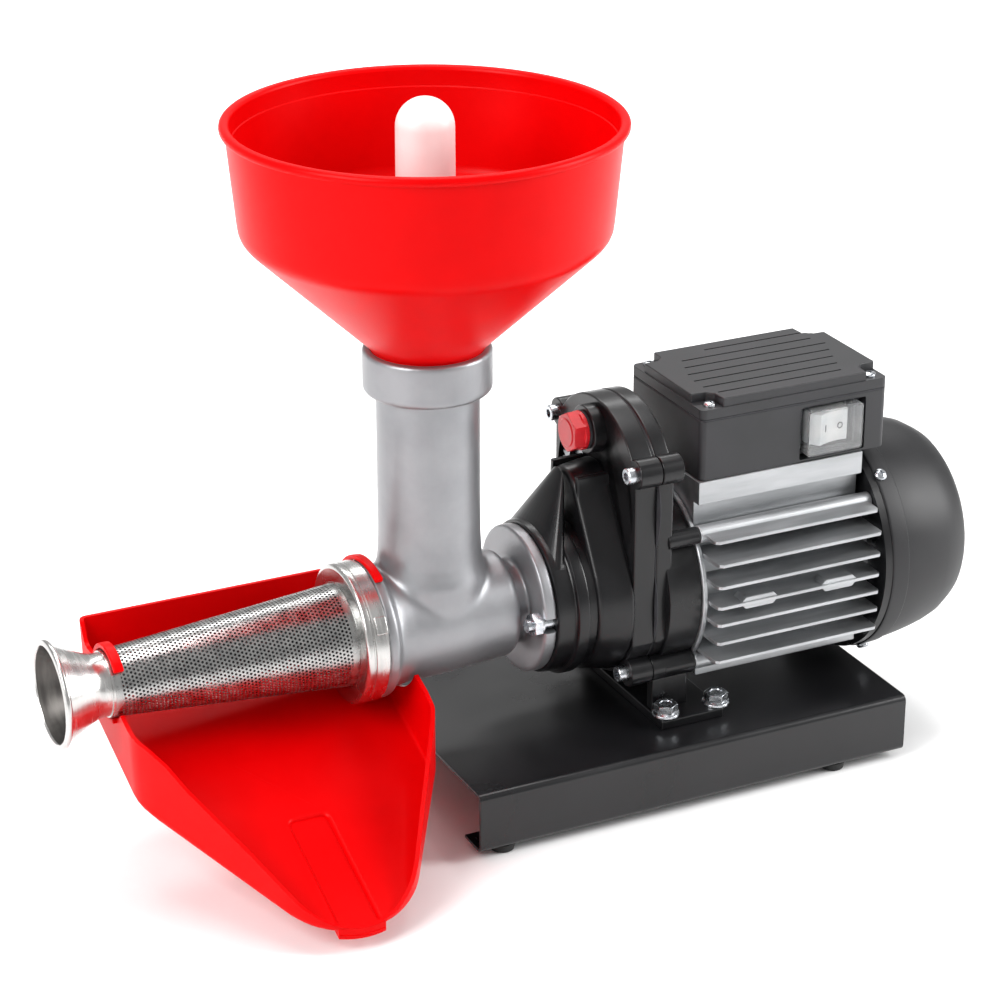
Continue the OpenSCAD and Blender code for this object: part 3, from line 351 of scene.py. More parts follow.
def aim(piece, point, direction):
    """Turns a piece that stands on the XY plane so that it faces a direction, with its foot at a point."""
    turn = Vector(direction).to_track_quat("Z", "Y").to_matrix().to_4x4()
    piece.matrix_world = Matrix.Translation(Vector(point) * MM) @ turn
    return settle(piece)


def finish(piece, look, body, slot, *nodes):
    settle(piece)
    piece.data.materials.clear()
    piece.data.materials.append(look)
    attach(piece, body)
    if nodes:
        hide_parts(*nodes)
    return piece


# Materials


def srgb(colour):
    """Linear colour from an sRGB hex value."""
    channels = [int(colour[i : i + 2], 16) / 255 for i in (0, 2, 4)]
    return tuple(c / 12.92 if c <= 0.04045 else ((c + 0.055) / 1.055) ** 2.4 for c in channels) + (1.0,)


def add(material, kind, settings=None, links=None):
    """Adds a node, sets its properties or sockets, and links its inputs to other nodes' outputs."""
    node = material.node_tree.nodes.new(kind)
    for name, value in (settings or {}).items():
        if isinstance(name, str) and hasattr(node, name):
            setattr(node, name, value)
        else:
            node.inputs[name].default_value = value
    for name, (source, output) in (links or {}).items():
        material.node_tree.links.new(source.outputs[output], node.inputs[name])
    return node


def new_material(name):
    material = bpy.data.materials.new(name)
    material.use_nodes = True
    material.node_tree.nodes.clear()
    return material


def noise(material, places, grain, detail=4, stretch=(1, 1, 1)):
    """Noise whose grains are so many millimetres across."""
    mapped = add(material, "ShaderNodeMapping", {"Scale": stretch}, {"Vector": (places, "Object")})
    settings = {"Scale": 1 / (grain * MM), "Detail": detail}
    return add(material, "ShaderNodeTexNoise", settings, {"Vector": (mapped, "Vector")})


def ramp(material, source, dark, light, low_at=0.35, high_at=0.65):
    """A colour between two, by the value of a pattern."""
    node = add(material, "ShaderNodeValToRGB", None, {"Fac": (source, "Fac")})
    node.color_ramp.elements[0].position = low_at
    node.color_ramp.elements[0].color = srgb(dark)
    node.color_ramp.elements[1].position = high_at
    node.color_ramp.elements[1].color = srgb(light)
    return node


def spread(material, source, smallest, largest):
    """A number between two, by the value of a pattern."""
    settings = {"From Min": 0.3, "From Max": 0.7, "To Min": smallest, "To Max": largest}
    return add(material, "ShaderNodeMapRange", settings, {"Value": (source, "Fac")})


def surface(name, dark, light, roughness, grain, bump_grain, bump, stretch=(1, 1, 1), shader=None):
    """A finish whose colour, roughness and relief vary with patterns of real size in millimetres."""
    material = new_material(name)
    places = add(material, "ShaderNodeTexCoord")
    broad = noise(material, places, grain, stretch=stretch)
    fine = noise(material, places, bump_grain, detail=6, stretch=stretch)
    colour = ramp(material, broad, dark, light)
    rough = spread(material, broad, roughness[0], roughness[1])
    depth = {"Strength": 1.0, "Distance": bump * MM}
    relief = add(material, "ShaderNodeBump", depth, {"Height": (fine, "Fac")})
    principled = add(
        material,
        "ShaderNodeBsdfPrincipled",
        shader,
        {"Base Color": (colour, "Color"), "Roughness": (rough, "Result"), "Normal": (relief, "Normal")},
    )
    add(material, "ShaderNodeOutputMaterial", None, {"Surface": (principled, "BSDF")})
    return material


# Moulded polypropylene: an even red with a soft gloss and a faint flow pattern
RED_POLYPROPYLENE = surface(
    "red_polypropylene", "D00002", "DA0003", (0.3, 0.38), 60, 1.6, 0.012, shader={"Specular IOR Level": 0.08}
)
# Moulded polyethylene: milky and a little see-through, so its shadows are soft
WHITE_POLYETHYLENE = surface(
    "white_polyethylene", "DEDCDA", "E8E6E4", (0.38, 0.46), 40, 1.2, 0.01,
    shader={"Subsurface Weight": 0.35, "Subsurface Radius": (0.004, 0.004, 0.004), "Subsurface Scale": 1.0},
)
# Sand cast aluminium under silver paint: a bright metal flake over the pebbled skin of the sand
SILVER_CASTING = surface(
    "silver_painted_casting", "8E8F92", "9B9C9F", (0.38, 0.44), 30, 0.9, 0.03,
    shader={"Metallic": 0.7, "Coat Weight": 0.15, "Coat Roughness": 0.3},
)
# Cast aluminium under black gloss paint: the paint levels the skin but leaves a slight waviness
BLACK_CASTING = surface(
    "black_painted_casting", "0B0B0D", "121214", (0.27, 0.36), 24, 2.2, 0.03,
    shader={"Specular IOR Level": 0.36, "Coat Weight": 0.12, "Coat Roughness": 0.2},
)
# Folded sheet steel with black powder coat: smooth, with a fine orange peel
POWDER_COAT = surface(
    "black_powder_coat", "111113", "171719", (0.26, 0.34), 50, 1.8, 0.012,
    shader={"Specular IOR Level": 0.4, "Coat Weight": 0.15, "Coat Roughness": 0.15},
)
# Moulded ABS with a spark eroded grain: dull, dark grey where light grazes it
BLACK_ABS = surface("black_abs", "212224", "29292C", (0.44, 0.52), 30, 0.5, 0.014)
# Moulded polypropylene of the fan cover: a shade deeper than the ABS of the box, with the same dull grain
BLACK_POLYPROPYLENE = surface(
    "black_polypropylene", "18181A", "1F1F21", (0.42, 0.5), 30, 0.8, 0.014, shader={"Specular IOR Level": 0.4}
)
# Die cast aluminium, shot blasted: bright, satin, with slight streaks along the ribs
DIE_CAST = surface(
    "blasted_die_casting", "A4A6A8", "BABCBE", (0.34, 0.44), 8, 0.8, 0.02, stretch=(0.15, 1, 1),
    shader={"Metallic": 0.85},
)
# Spun and polished stainless steel: a near mirror with fine turning lines round the axis
POLISHED_STAINLESS = surface(
    "polished_stainless", "C4C3C1", "D6D5D3", (0.22, 0.3), 20, 0.9, 0.004, stretch=(6, 1, 1),
    shader={"Metallic": 1.0},
)
# The same steel inside the spout, a duller satin, with a dark colour that is painted shade of the hollow
SHADED_SPOUT_STAINLESS = surface(
    "spout_inside_painted_shade", "4E4B49", "605D5A", (0.36, 0.46), 20, 0.9, 0.01, stretch=(6, 1, 1),
    shader={"Metallic": 0.9},
)
# Rolled and punched stainless sheet: satin, its tone varying a little at random
PUNCHED_STAINLESS = surface(
    "punched_stainless", "A4A4A3", "BEBEBC", (0.24, 0.32), 6, 1.2, 0.01, shader={"Metallic": 1.0}
)
# Bright zinc plate on steel fasteners: silvery with a faint blue cast
ZINC_PLATE = surface(
    "zinc_plated_steel", "B8BCC2", "D6D9DC", (0.2, 0.32), 3, 0.4, 0.006, shader={"Metallic": 1.0}
)
# Ground and hardened steel of shafts and bearing races
GROUND_STEEL = surface(
    "ground_steel", "9A9DA0", "B4B6B8", (0.2, 0.3), 10, 0.3, 0.002, stretch=(8, 1, 1),
    shader={"Metallic": 1.0},
)
# Hobbed gear steel with an oil film
GEAR_STEEL = surface(
    "oiled_gear_steel", "6E7174", "8C8F92", (0.22, 0.36), 5, 0.6, 0.01,
    shader={"Metallic": 1.0, "Coat Weight": 0.3, "Coat Roughness": 0.1},
)
# Stacked electrical sheet: fine lines across the axis, one for each half millimetre, drawn at 1 mm to show
LAMINATED_STEEL = surface(
    "laminated_steel", "4A4D50", "6A6D70", (0.4, 0.55), 4, 1.0, 0.05, stretch=(1, 0.02, 0.02),
    shader={"Metallic": 0.9},
)
# Varnished copper wire
COPPER_WIRE = surface(
    "varnished_copper", "7A3A16", "A65A28", (0.3, 0.45), 3, 0.8, 0.15,
    shader={"Metallic": 0.6, "Coat Weight": 0.4},
)
# Moulded nitrile rubber
RUBBER = surface("moulded_rubber", "141414", "1C1C1C", (0.62, 0.75), 12, 0.5, 0.02)
# Cut gasket sheet
GASKET = surface("gasket_sheet", "26262A", "323236", (0.7, 0.8), 5, 0.4, 0.02)
# Moulded nylon of the screw: its grey kept dark as painted shade of the hollow behind the holes of the screen
SHADED_GREY_NYLON = surface("grey_nylon_painted_shade", "4C4D4F", "58595B", (0.4, 0.5), 20, 0.8, 0.01)
# Moulded red nylon of the oil plug
RED_NYLON = surface("red_nylon", "C4101C", "D81A26", (0.28, 0.36), 10, 0.8, 0.01)
# Glossy white ABS of the rocker
WHITE_ABS = surface("white_abs", "ECECEA", "F4F4F2", (0.2, 0.28), 20, 0.8, 0.004)
# Printing ink of the ON and OFF marks
BLACK_INK = surface("black_ink", "1A1A1A", "222222", (0.4, 0.5), 4, 0.4, 0.002)
# Drawn aluminium can
DRAWN_CAN = surface("drawn_can", "BFC1C2", "D2D4D5", (0.3, 0.4), 10, 0.6, 0.004, shader={"Metallic": 0.95})
# Cream melamine of the terminal block
CREAM_MELAMINE = surface("cream_melamine", "D8D2C0", "E4DFD0", (0.4, 0.5), 10, 0.6, 0.01)
# Soft clear PVC: glass clear with a slightly uneven surface that breaks up the reflections
CLEAR_PVC = surface(
    "clear_pvc", "F2F5F7", "FFFFFF", (0.06, 0.12), 12, 3.0, 0.03,
    shader={"Transmission Weight": 0.92, "IOR": 1.45},
)

# Finishes of the solids that stay as they are
STAYING = {
    "foot_nuts": ZINC_PLATE, "casing_gasket": GASKET, "plug_washer": GASKET, "output_shaft": GROUND_STEEL,
    "output_gear": GEAR_STEEL, "output_bearings": GROUND_STEEL, "output_seal": RUBBER, "layshaft": GEAR_STEEL,
    "lay_gear": GEAR_STEEL, "layshaft_bearings": GROUND_STEEL, "motor_shaft": GROUND_STEEL,
    "rotor_core": LAMINATED_STEEL, "motor_bearings": GROUND_STEEL, "stator_core": LAMINATED_STEEL,
    "stator_windings": COPPER_WIRE, "tie_bolts": ZINC_PLATE, "end_shield": BLACK_CASTING, "fan": BLACK_ABS,
    "lid_gasket": GASKET, "capacitor": DRAWN_CAN, "terminal_block": CREAM_MELAMINE, "switch_body": BLACK_ABS,
    "flange_studs": ZINC_PLATE, "auger": SHADED_GREY_NYLON, "cable_gland": BLACK_ABS,
}


def dress_solids():
    for node, look in STAYING.items():
        piece = frame["nodes"][node]
        for part in [piece, *piece.children_recursive]:
            if part.type == "MESH":
                part.data.materials.clear()
                part.data.materials.append(look)


# Base and feet
BOLT_X = (-5, 30)
BOLT_Y = 55.3
BOLT_HOLE_R = 4.5


def at_bolts():
    return [(x, side * BOLT_Y) for x in BOLT_X for side in (-1, 1)]


def base_plate():
    half, bottom = high("base_plate", "Y"), low("base_plate", "Z")
    start, end = low("base_plate", "X"), high("base_plate", "X")
    bend, sheet, lip = 4, 2, 22
    corners = [(-1, -1, 270), (-1, 1, 180), (1, 1, 90), (1, -1, 0)]
    outer, inner = [(-half + lip, bottom)], [(-half + lip, bottom + sheet)]
    for side, up, turn in corners:
        middle_at = (side * (half - bend), BASE_TOP - bend if up > 0 else bottom + bend)
        outer += arc(middle_at, bend, turn, turn - 90, 6)
        inner += arc(middle_at, bend - sheet, turn, turn - 90, 6)
    outer.append((half - lip, bottom))
    inner.append((half - lip, bottom + sheet))
    plate = prism("base_plate_steel", outer + inner[::-1], start, end - start)
    soften(plate, 0.35, angle=50)
    for x, y in at_bolts():
        cut(plate, rod("hole", (x, y, BASE_TOP - 5), 10, BOLT_HOLE_R, along="Z", sides=24))
    finish(shade(plate), POWDER_COAT, "frame", "base_paint", "base_plate")


def rubber_feet():
    node = "rubber_feet"
    top, radius = low("base_plate", "Z") - SEAT, 8
    stem, sheet, head = 3, 2, 5
    profile = [
        (0, 0), (0, radius - 1.8), (0.5, radius - 1), (top - 0.6, radius), (top, radius - 0.3), (top, stem),
        (top + sheet + 2 * SEAT, stem), (top + sheet + 2 * SEAT, head), (top + sheet + 2, head - 0.5),
        (high(node, "Z"), 0),
    ]
    foot = lathe("foot", profile, mm(0, 0, 0), along="Z", steps=48)
    xs = (low(node, "X") + radius, high(node, "X") - radius)
    y = high(node, "Y") - radius
    feet = moved_copies(foot, [(x, side * y, 0) for x in xs for side in (-1, 1)])
    feet.name = "rubber_foot_mouldings"
    finish(shade(feet), RUBBER, "frame", "rubber", node)


def foot_bolts():
    """Hexagon head bolts with a pressed flange, as the photograph shows, and a washer under each."""
    node = "foot_bolts"
    top = high(node, "Z")
    seat_z = BASE_TOP + 6 + SEAT
    washer_t, washer_r, shank_r = 1.6, 8.5, 4
    head = hexagon("head", 13, top - seat_z - washer_t)
    dish = [(5, 0), (4.6, 0), (5.2, 3.6), (8, 4.2), (8, 0)]
    cut(head, lathe("dish", dish, mm(0, 0, 0), along="Z", steps=32))
    aim(head, (0, 0, seat_z + washer_t), (0, 0, 1))
    collar_r = 6.4
    skirt = lathe(
        "skirt",
        [(0, 0), (0, washer_r - 0.3), (0.3, washer_r), (washer_t, washer_r - 0.2),
         (washer_t + 1.2, collar_r), (washer_t + 1.4, 0)],
        mm(0, 0, seat_z), along="Z", steps=48,
    )
    shank = rod("shank", (0, 0, low(node, "Z")), seat_z + 2 - low(node, "Z"), shank_r, along="Z", sides=32)
    bolt = unite(head, skirt, shank)
    bolts = moved_copies(soften(bolt, 0.2, angle=45), [(x, y, 0) for x, y in at_bolts()])
    bolts.name = "flange_bolts"
    finish(shade(bolts), ZINC_PLATE, "frame", "zinc_steel", node)


# Gearbox
DOME_Z, DOME_R = 64, 57
SIDE_HALF = 52
NECK_R = 58
EARS = ((-50.5, 90), (50, 94), (-43.3, -42.8), (43.3, -42.8))
EAR_R = 9
TIES = ((-48.5, 42), (48.5, 42), (-46.5, -43), (46.5, -43))
TIE_R = 5.5
LAYSHAFT_RISE = 60
OUTPUT_CAVITY_R, LAY_CAVITY_R = 49, 48.55
PLUG_RISE, PLUG_BOSS_R = 102, 15
PLUG_X = FLANGE_X - 8
DOME_X = REAR_X + 11


def flange_outline():
    """The joint face of the casings: a dome over the layshaft, flat sides, and a round belly."""
    belly = NECK_R - 2
    lean = math.degrees(math.acos(SIDE_HALF / DOME_R))
    tuck = math.degrees(math.acos(SIDE_HALF / belly))
    points = arc((0, AXIS_Z + DOME_Z), DOME_R, lean, 180 - lean, 48)
    points += arc((0, AXIS_Z), belly, 180 + tuck, 360 - tuck, 48)
    return points


def teardrop(big, small, rise):
    """A large circle round the output shaft and a small one above it, joined by straight sides."""
    lean = math.degrees(math.asin((big - small) / rise))
    points = arc((0, AXIS_Z + rise), small, lean, 180 - lean, 24)
    return points + arc((0, AXIS_Z), big, 180 - lean, 360 + lean, 72)


def tapered(name, front, back, start, depth):
    """A solid between two outlines with as many points, one at each end."""
    piece = prism(name, front, start, depth)
    far = (start + depth / 2) * MM
    ends = [v for v in piece.data.vertices if v.co.x > far]
    for vertex in ends:
        place = (vertex.co.y / MM, vertex.co.z / MM)
        near = min(range(len(front)), key=lambda i: math.dist(front[i], place))
        vertex.co.y, vertex.co.z = back[near][0] * MM, back[near][1] * MM
    return piece


def round_bar(name, start, length, radius, edge=0.8, sides=64):
    """A bar along the machine with rounded ends."""
    x, y, z = start
    turns = (0.4, 0.8, 1.2, math.pi / 2)
    corner = [(edge * (1 - math.cos(turn)), radius - edge * (1 - math.sin(turn))) for turn in turns]
    profile = [(0, 0), (0, radius - edge), *corner]
    profile += [(length - x, r) for x, r in corner[-2::-1]]
    profile += [(length, radius - edge), (length, 0)]
    return lathe(name, profile, mm(x, y, z), steps=sides)


def front_casing():
    nose_r, ring_r = 47.5, 50.5
    front_x = NOSE_X + 25.5
    nose = lathe(
        "front_casing_cast",
        [(0, 0), (0, nose_r - 2), (0.6, nose_r - 0.6), (2, nose_r), (11.2, nose_r), (11.8, nose_r + 0.6),
         (12.1, ring_r - 0.9), (12.7, ring_r - 0.2), (13.6, ring_r), (18.6, ring_r), (19.5, ring_r - 0.3),
         (20, ring_r - 1.1), (20.3, nose_r + 0.8), (21, nose_r + 0.3), (30, nose_r + 0.3), (30, 0)],
        mm(NOSE_X, 0, AXIS_Z), steps=160,
    )
    front = teardrop(50, 19.5, LAYSHAFT_RISE)
    back = teardrop(54.5, 22.5, LAYSHAFT_RISE)
    cone = tapered("cone", front, back, front_x, FLANGE_X - front_x + 1)
    soften(cone, 3, segments=4, angle=50)
    flange = prism("flange", flange_outline(), FLANGE_X, SPLIT_X - FLANGE_X)
    soften(flange, 1.2, segments=3, angle=50)
    wide = arc((0, AXIS_Z), nose_r - 0.5, 0, 360, 72)
    narrow = arc((0, AXIS_Z + LAYSHAFT_RISE + 12), 8.5, 0, 360, 72)
    buttress = tapered("buttress", wide[:-1], narrow[:-1], NOSE_X + 4, front_x - NOSE_X - 7)
    parts = [cone, flange, buttress]
    plug_z = AXIS_Z + PLUG_RISE
    parts.append(round_bar("plug_boss", (PLUG_X, 0, plug_z), SPLIT_X - PLUG_X - 2, PLUG_BOSS_R))
    for y, z in EARS:
        parts.append(round_bar("ear", (FLANGE_X, y, AXIS_Z + z), SPLIT_X - FLANGE_X, EAR_R))
    rib_low, rib_high = AXIS_Z + 30, AXIS_Z + 79
    for side in (-1, 1):
        rib = [(side * 16, rib_low), (side * 21, rib_low), (side * 18, rib_high), (side * 14, rib_high)]
        parts.append(soften(prism("rib", rib, front_x + 1, FLANGE_X - front_x), 1, segments=3))
    unite(nose, *parts)
    lay_z, lay_pocket_r, seal_r = AXIS_Z + LAYSHAFT_RISE, 16, 21
    plug_hole_r, screw_hole_r, stud_hole_r = 8.1, 3.3, 4
    cavity = [
        rod("cavity", (FLANGE_X - 16, 0, AXIS_Z), 40, OUTPUT_CAVITY_R),
        rod("cavity", (FLANGE_X, 0, lay_z), 40, LAY_CAVITY_R),
        rod("cavity", (front_x + 2.5, 0, lay_z), 40, lay_pocket_r),
        rod("cavity", (NOSE_X - 1, 0, AXIS_Z), 40, seal_r),
        rod("cavity", (PLUG_X - 1, 0, plug_z), 12, plug_hole_r, sides=32),
    ]
    for y, z in EARS:
        cavity.append(rod("cavity", (FLANGE_X - 1, y, AXIS_Z + z), 30, screw_hole_r, sides=24))
    for side in (-1, 1):
        cavity.append(rod("cavity", (NOSE_X - 1, side * STUD_RING, AXIS_Z), 13, stud_hole_r, sides=24))
    cut(nose, *cavity)
    finish(shade(nose), BLACK_CASTING, "frame", "casing_paint", "front_casing")


def rear_casing():
    neck_end = MOTOR_X
    body = prism("rear_casing_cast", flange_outline(), REAR_X, DOME_X - REAR_X)
    soften(body, 1.6, segments=4, angle=50)
    parts = [round_bar("neck", (DOME_X - 4, 0, AXIS_Z), neck_end - DOME_X + 4, NECK_R, sides=160)]
    for y, z in EARS:
        length = 14 if z > 0 else neck_end - REAR_X
        parts.append(round_bar("ear", (REAR_X, y, AXIS_Z + z), length, EAR_R if z > 0 else EAR_R - 0.6))
    for y, z in TIES:
        start = (DOME_X - 3, y, AXIS_Z + z)
        parts.append(round_bar("tie_boss", start, neck_end - DOME_X + 3, TIE_R, sides=32))
    foot_start, foot_end, foot_half, foot_t = REAR_X, high("rear_casing", "X"), 64, 6
    plate = block("foot_plate", (foot_start, -foot_half, BASE_TOP), (foot_end, foot_half, BASE_TOP + foot_t))
    parts.append(soften(plate, 1, segments=3))
    web_y, web_t = EARS[3][0], 7
    for side in (-1, 1):
        near, far = side * web_y - web_t / 2, side * web_y + web_t / 2
        web = block("web", (REAR_X + 2, near, BASE_TOP + 1), (neck_end - 3, far, AXIS_Z + EARS[2][1]))
        parts.append(soften(web, 1, segments=3))
    saddle_top = AXIS_Z - NECK_R + 12
    parts.append(block("saddle", (neck_end - 10, -web_y, BASE_TOP + 1), (neck_end - 3, web_y, saddle_top)))
    unite(body, *parts)
    motor_bore, lay_pocket_r, bowl_r, boss_r = 17.5, 11, 50, 22.5
    cavity = [
        rod("cavity", (REAR_X - 1, 0, AXIS_Z), 4, OUTPUT_CAVITY_R),
        rod("cavity", (REAR_X - 1, 0, AXIS_Z + LAYSHAFT_RISE), 4, LAY_CAVITY_R),
        rod("cavity", (REAR_X, 0, AXIS_Z), 60, motor_bore),
        rod("cavity", (REAR_X, 0, AXIS_Z + LAYSHAFT_RISE), 9, lay_pocket_r, sides=32),
    ]
    bowl = rod("bowl", (neck_end - 10, 0, AXIS_Z), 11, bowl_r)
    cut(bowl, rod("boss", (neck_end - 11, 0, AXIS_Z), 5, boss_r))
    cavity.append(bowl)
    for x, y in at_bolts():
        cavity.append(rod("cavity", (x, y, BASE_TOP - 1), 8, BOLT_HOLE_R, along="Z", sides=24))
    cut(body, *cavity)
    finish(shade(body), BLACK_CASTING, "frame", "casing_paint", "rear_casing")


def socket_screw(name, start, length, radius, head_r, head_h, flats):
    """A cap screw along the machine, its head towards the spout, with a hexagon socket."""
    x, y, z = start
    screw = lathe(
        name,
        [(0, 0), (0, head_r - 0.5), (0.5, head_r), (head_h, head_r), (head_h, radius), (length - 0.6, radius),
         (length, radius - 0.6), (length, 0)],
        mm(x, y, z), steps=40,
    )
    socket = rod("socket", (x - 1, y, z), 5, flats / 2 / math.cos(math.radians(30)), sides=6)
    return cut(screw, socket)


def casing_screws():
    """Four screws along the machine: the lower two reach on to the motor's neck."""
    start, radius, head_r, head_h, flats = low("casing_screws", "X"), 3, 5, 6 - SEAT, 5
    screws = []
    for y, z in EARS:
        length = (DOME_X + 2 if z > 0 else MOTOR_X - 11) - start
        screws.append(socket_screw("screw", (start, y, AXIS_Z + z), length, radius, head_r, head_h, flats))
    finish(shade(join(screws)), ZINC_PLATE, "frame", "zinc_steel", "casing_screws").name = "casing_cap_screws"


def oil_plug():
    """A moulded hexagon plug with a round face raised inside its chamfer."""
    node = "oil_plug"
    head_low, rise = low(node, "X"), AXIS_Z + PLUG_RISE
    flats, head_h, collar_r, thread_r = 22, 8, 12, 8
    head = hexagon("oil_plug_moulding", flats, head_h)
    aim(head, (head_low + head_h, 0, rise), (-1, 0, 0))
    face = lathe(
        "face", [(0, 0), (0, 8.2), (0.4, 8.8), (2, 9.2), (2, 0)], mm(head_low - 0.6, 0, rise), steps=48
    )
    collar = round_bar("collar", (head_low + head_h - 1, 0, rise), 3, collar_r, edge=0.6)
    thread = rod("thread", (head_low + head_h + 1, 0, rise), high(node, "X") - head_low - 9, thread_r)
    unite(head, face, collar, thread)
    finish(shade(soften(head, 0.3, angle=35)), RED_NYLON, "frame", "red_plug", node)


# Motor
FIN_RISES = (42.5, 29.4, 15, 1.5, -10, -22, -35)
FIN_HALF, FIN_T, FIN_THINNING = 72, 3.4, 0.32
HOUSING_R, HOUSING_BORE, STATOR_R = 52, 47, 49


def fin(rise, tip):
    """A cooling fin on the near side, thinner at its tip, with its outer corners rounded."""
    start, end, root = MOTOR_X + 3, SHIELD_X - 3, 40
    plan = [
        (start, -root), (start, -tip + 4), (start + 0.8, -tip + 1.5), (start + 2.8, -tip),
        (end - 1.5, -tip), (end, -tip + 2), (end, -root),
    ]
    piece = prism("fin", plan, AXIS_Z + rise - FIN_T / 2, FIN_T, along="Z")
    for vertex in piece.data.vertices:
        share = (abs(vertex.co.y) / MM - root) / (tip - root)
        vertex.co.z += (AXIS_Z + rise - vertex.co.z / MM) * MM * FIN_THINNING * share
    return soften(piece, 0.5, segments=2, angle=50)


def motor_housing():
    length = SHIELD_X - MOTOR_X
    body = lathe(
        "motor_housing_casting",
        [(0, STATOR_R), (0, NECK_R + 1.4), (0.6, NECK_R + 2), (2.4, NECK_R + 2), (3, NECK_R + 1.4),
         (3, HOUSING_R + 1), (5, HOUSING_R), (length, HOUSING_R), (length, HOUSING_BORE), (3, HOUSING_BORE),
         (3, STATOR_R)],
        mm(MOTOR_X, 0, AXIS_Z), steps=160,
    )
    parts = []
    # The tips of the outer fins follow a round outline
    outline_r = FIN_HALF + 7
    for rise in FIN_RISES:
        tip = min(FIN_HALF, math.sqrt(outline_r**2 - rise**2))
        parts.append(mirrored(fin(rise, tip)))
    for y, z in TIES:
        parts.append(round_bar("tie_bar", (MOTOR_X + 0.5, y, AXIS_Z + z), length - 0.5, TIE_R, sides=32))
    pad_z, pad_rise = AXIS_Z + FIN_RISES[3], 4
    for start in (MOTOR_X + 19, MOTOR_X + 75):
        pad = prism(
            "pad",
            [(start, pad_z), (start + 4, pad_z - pad_rise), (start + 23, pad_z - pad_rise),
             (start + 27, pad_z), (start + 23, pad_z + pad_rise), (start + 4, pad_z + pad_rise)],
            -FIN_HALF + 1, 11, along="Y",
        )
        parts.append(mirrored(soften(pad, 0.8, segments=2, angle=30)))
    # The seat of the terminal box, the saddle that carries it, and the belly under the housing
    start, end, seat_top, belly_z = MOTOR_X + 3, SHIELD_X - 3, BOX_Z - SEAT, AXIS_Z - HOUSING_R
    seat_half, seat_t, saddle_half, belly_half = 45, 15, 39, 46.5
    seat = block("seat", (start, -seat_half, BOX_Z - seat_t), (end, seat_half, seat_top))
    saddle = block("saddle", (start, -saddle_half, AXIS_Z + 30), (end, saddle_half, seat_top - 2))
    belly = block("belly", (start, -belly_half, belly_z - 2), (end, belly_half, belly_z + 12))
    for solid in (saddle, belly):
        cut(solid, rod("hollow", (MOTOR_X - 1, 0, AXIS_Z), length + 2, STATOR_R))
    parts += [soften(seat, 0.8, angle=60), soften(saddle, 0.8, angle=60), soften(belly, 1, angle=60)]
    unite(body, *parts)
    finish(shade(body), DIE_CAST, "frame", "motor_alloy", "motor_housing")


def cover_profile(wall):
    """The fan cover's outline from its rim to its end, drawn in by the wall for the inside."""
    radius, length = high("fan_cover", "Z") - AXIS_Z, END_X - COVER_X - SEAT
    drops = [
        (0, 1.2), (0.4, 0.4), (1.6, 0), (11.4, 0.4), (12.1, 0.8), (12.6, 1.5), (19, 1.9), (28, 3.1),
        (36, 4.5), (44, 6.3), (52, 8.9), (length - 7, 13.7), (length - 4.4, 15.6), (length - 2.2, 18.3),
        (length - 0.8, 21), (length, 24.4),
    ]
    return [(min(x, length - wall), radius - drop - wall) for x, drop in drops]


def fan_cover():
    """A cup with three rings of six air slots in its end."""
    start, wall, slot_half = COVER_X + SEAT, 2, 2.5
    outer, inner = cover_profile(0), cover_profile(wall)
    outline = [(outer[-1][0], 0), (inner[-1][0], 0)] + inner[::-1] + outer
    cover = lathe("fan_cover_moulding", outline, mm(start, 0, AXIS_Z), steps=160)
    for radius in (18, 27, 36):
        for turn in range(0, 360, 60):
            span = arc((0, 0), radius + slot_half, turn + 8, turn + 52, 8)
            span += arc((0, 0), radius - slot_half, turn + 52, turn + 8, 8)
            slot = [(y, z + AXIS_Z) for y, z in span]
            cut(cover, prism("slot", slot, END_X - 6, 10))
    finish(shade(cover), BLACK_POLYPROPYLENE, "frame", "black_plastic", "fan_cover")


def pan_screw(name, head_r, head_h, shank_r, shank_len):
    """A pan head screw with a cross recess, standing on the XY plane."""
    screw = lathe(
        name,
        [(-shank_len, 0), (-shank_len, shank_r - 0.3), (-shank_len + 0.6, shank_r), (0, shank_r), (0, head_r),
         (head_h * 0.45, head_r - 0.1), (head_h * 0.8, head_r * 0.8), (head_h, head_r * 0.45), (head_h, 0)],
        mm(0, 0, 0), along="Z", steps=40,
    )
    for half_x, half_y in ((head_r * 0.5, 0.5), (0.5, head_r * 0.5)):
        cut(screw, block("recess", (-half_x, -half_y, head_h * 0.35), (half_x, half_y, head_h + 1)))
    return screw


COVER_SCREW_ANGLES = (40, 149, 211, 320)
PAN_HEAD_R, PAN_HEAD_H = 4, 2.4


def fan_cover_screws():
    radius = high("fan_cover", "Z") - AXIS_Z
    one = pan_screw("screw", PAN_HEAD_R, PAN_HEAD_H, 2 - SEAT, 8)
    aim(one, (COVER_X + 4, 0, AXIS_Z + radius), (0, 0, 1))
    screws = turned_copies(one, COVER_SCREW_ANGLES)
    screws.name = "cover_pan_screws"
    finish(shade(screws), ZINC_PLATE, "frame", "zinc_steel", "fan_cover_screws")


# Terminal box and switch
SWITCH_X = middle("switch_bezel", "X")
SWITCH_Z = middle("switch_bezel", "Z")
SWITCH_FACE = high("switch_bezel", "Y") + SEAT
SWITCH_HALF_X = high("switch_bezel", "X") - SWITCH_X
SWITCH_HALF_Z = high("switch_bezel", "Z") - SWITCH_Z
LID_SCREW_INSET, PILLAR_R = (9, 7), 5
# The height of the lid's corners, on which its screws sit
LID_LEDGE = LID_Z + 6.5


def at_lid_screws():
    inset_x, inset_y = LID_SCREW_INSET
    ends = (BOX_X + inset_x, BOX_END - inset_x)
    return [(x, side * (BOX_HALF - inset_y)) for x in ends for side in (-1, 1)]


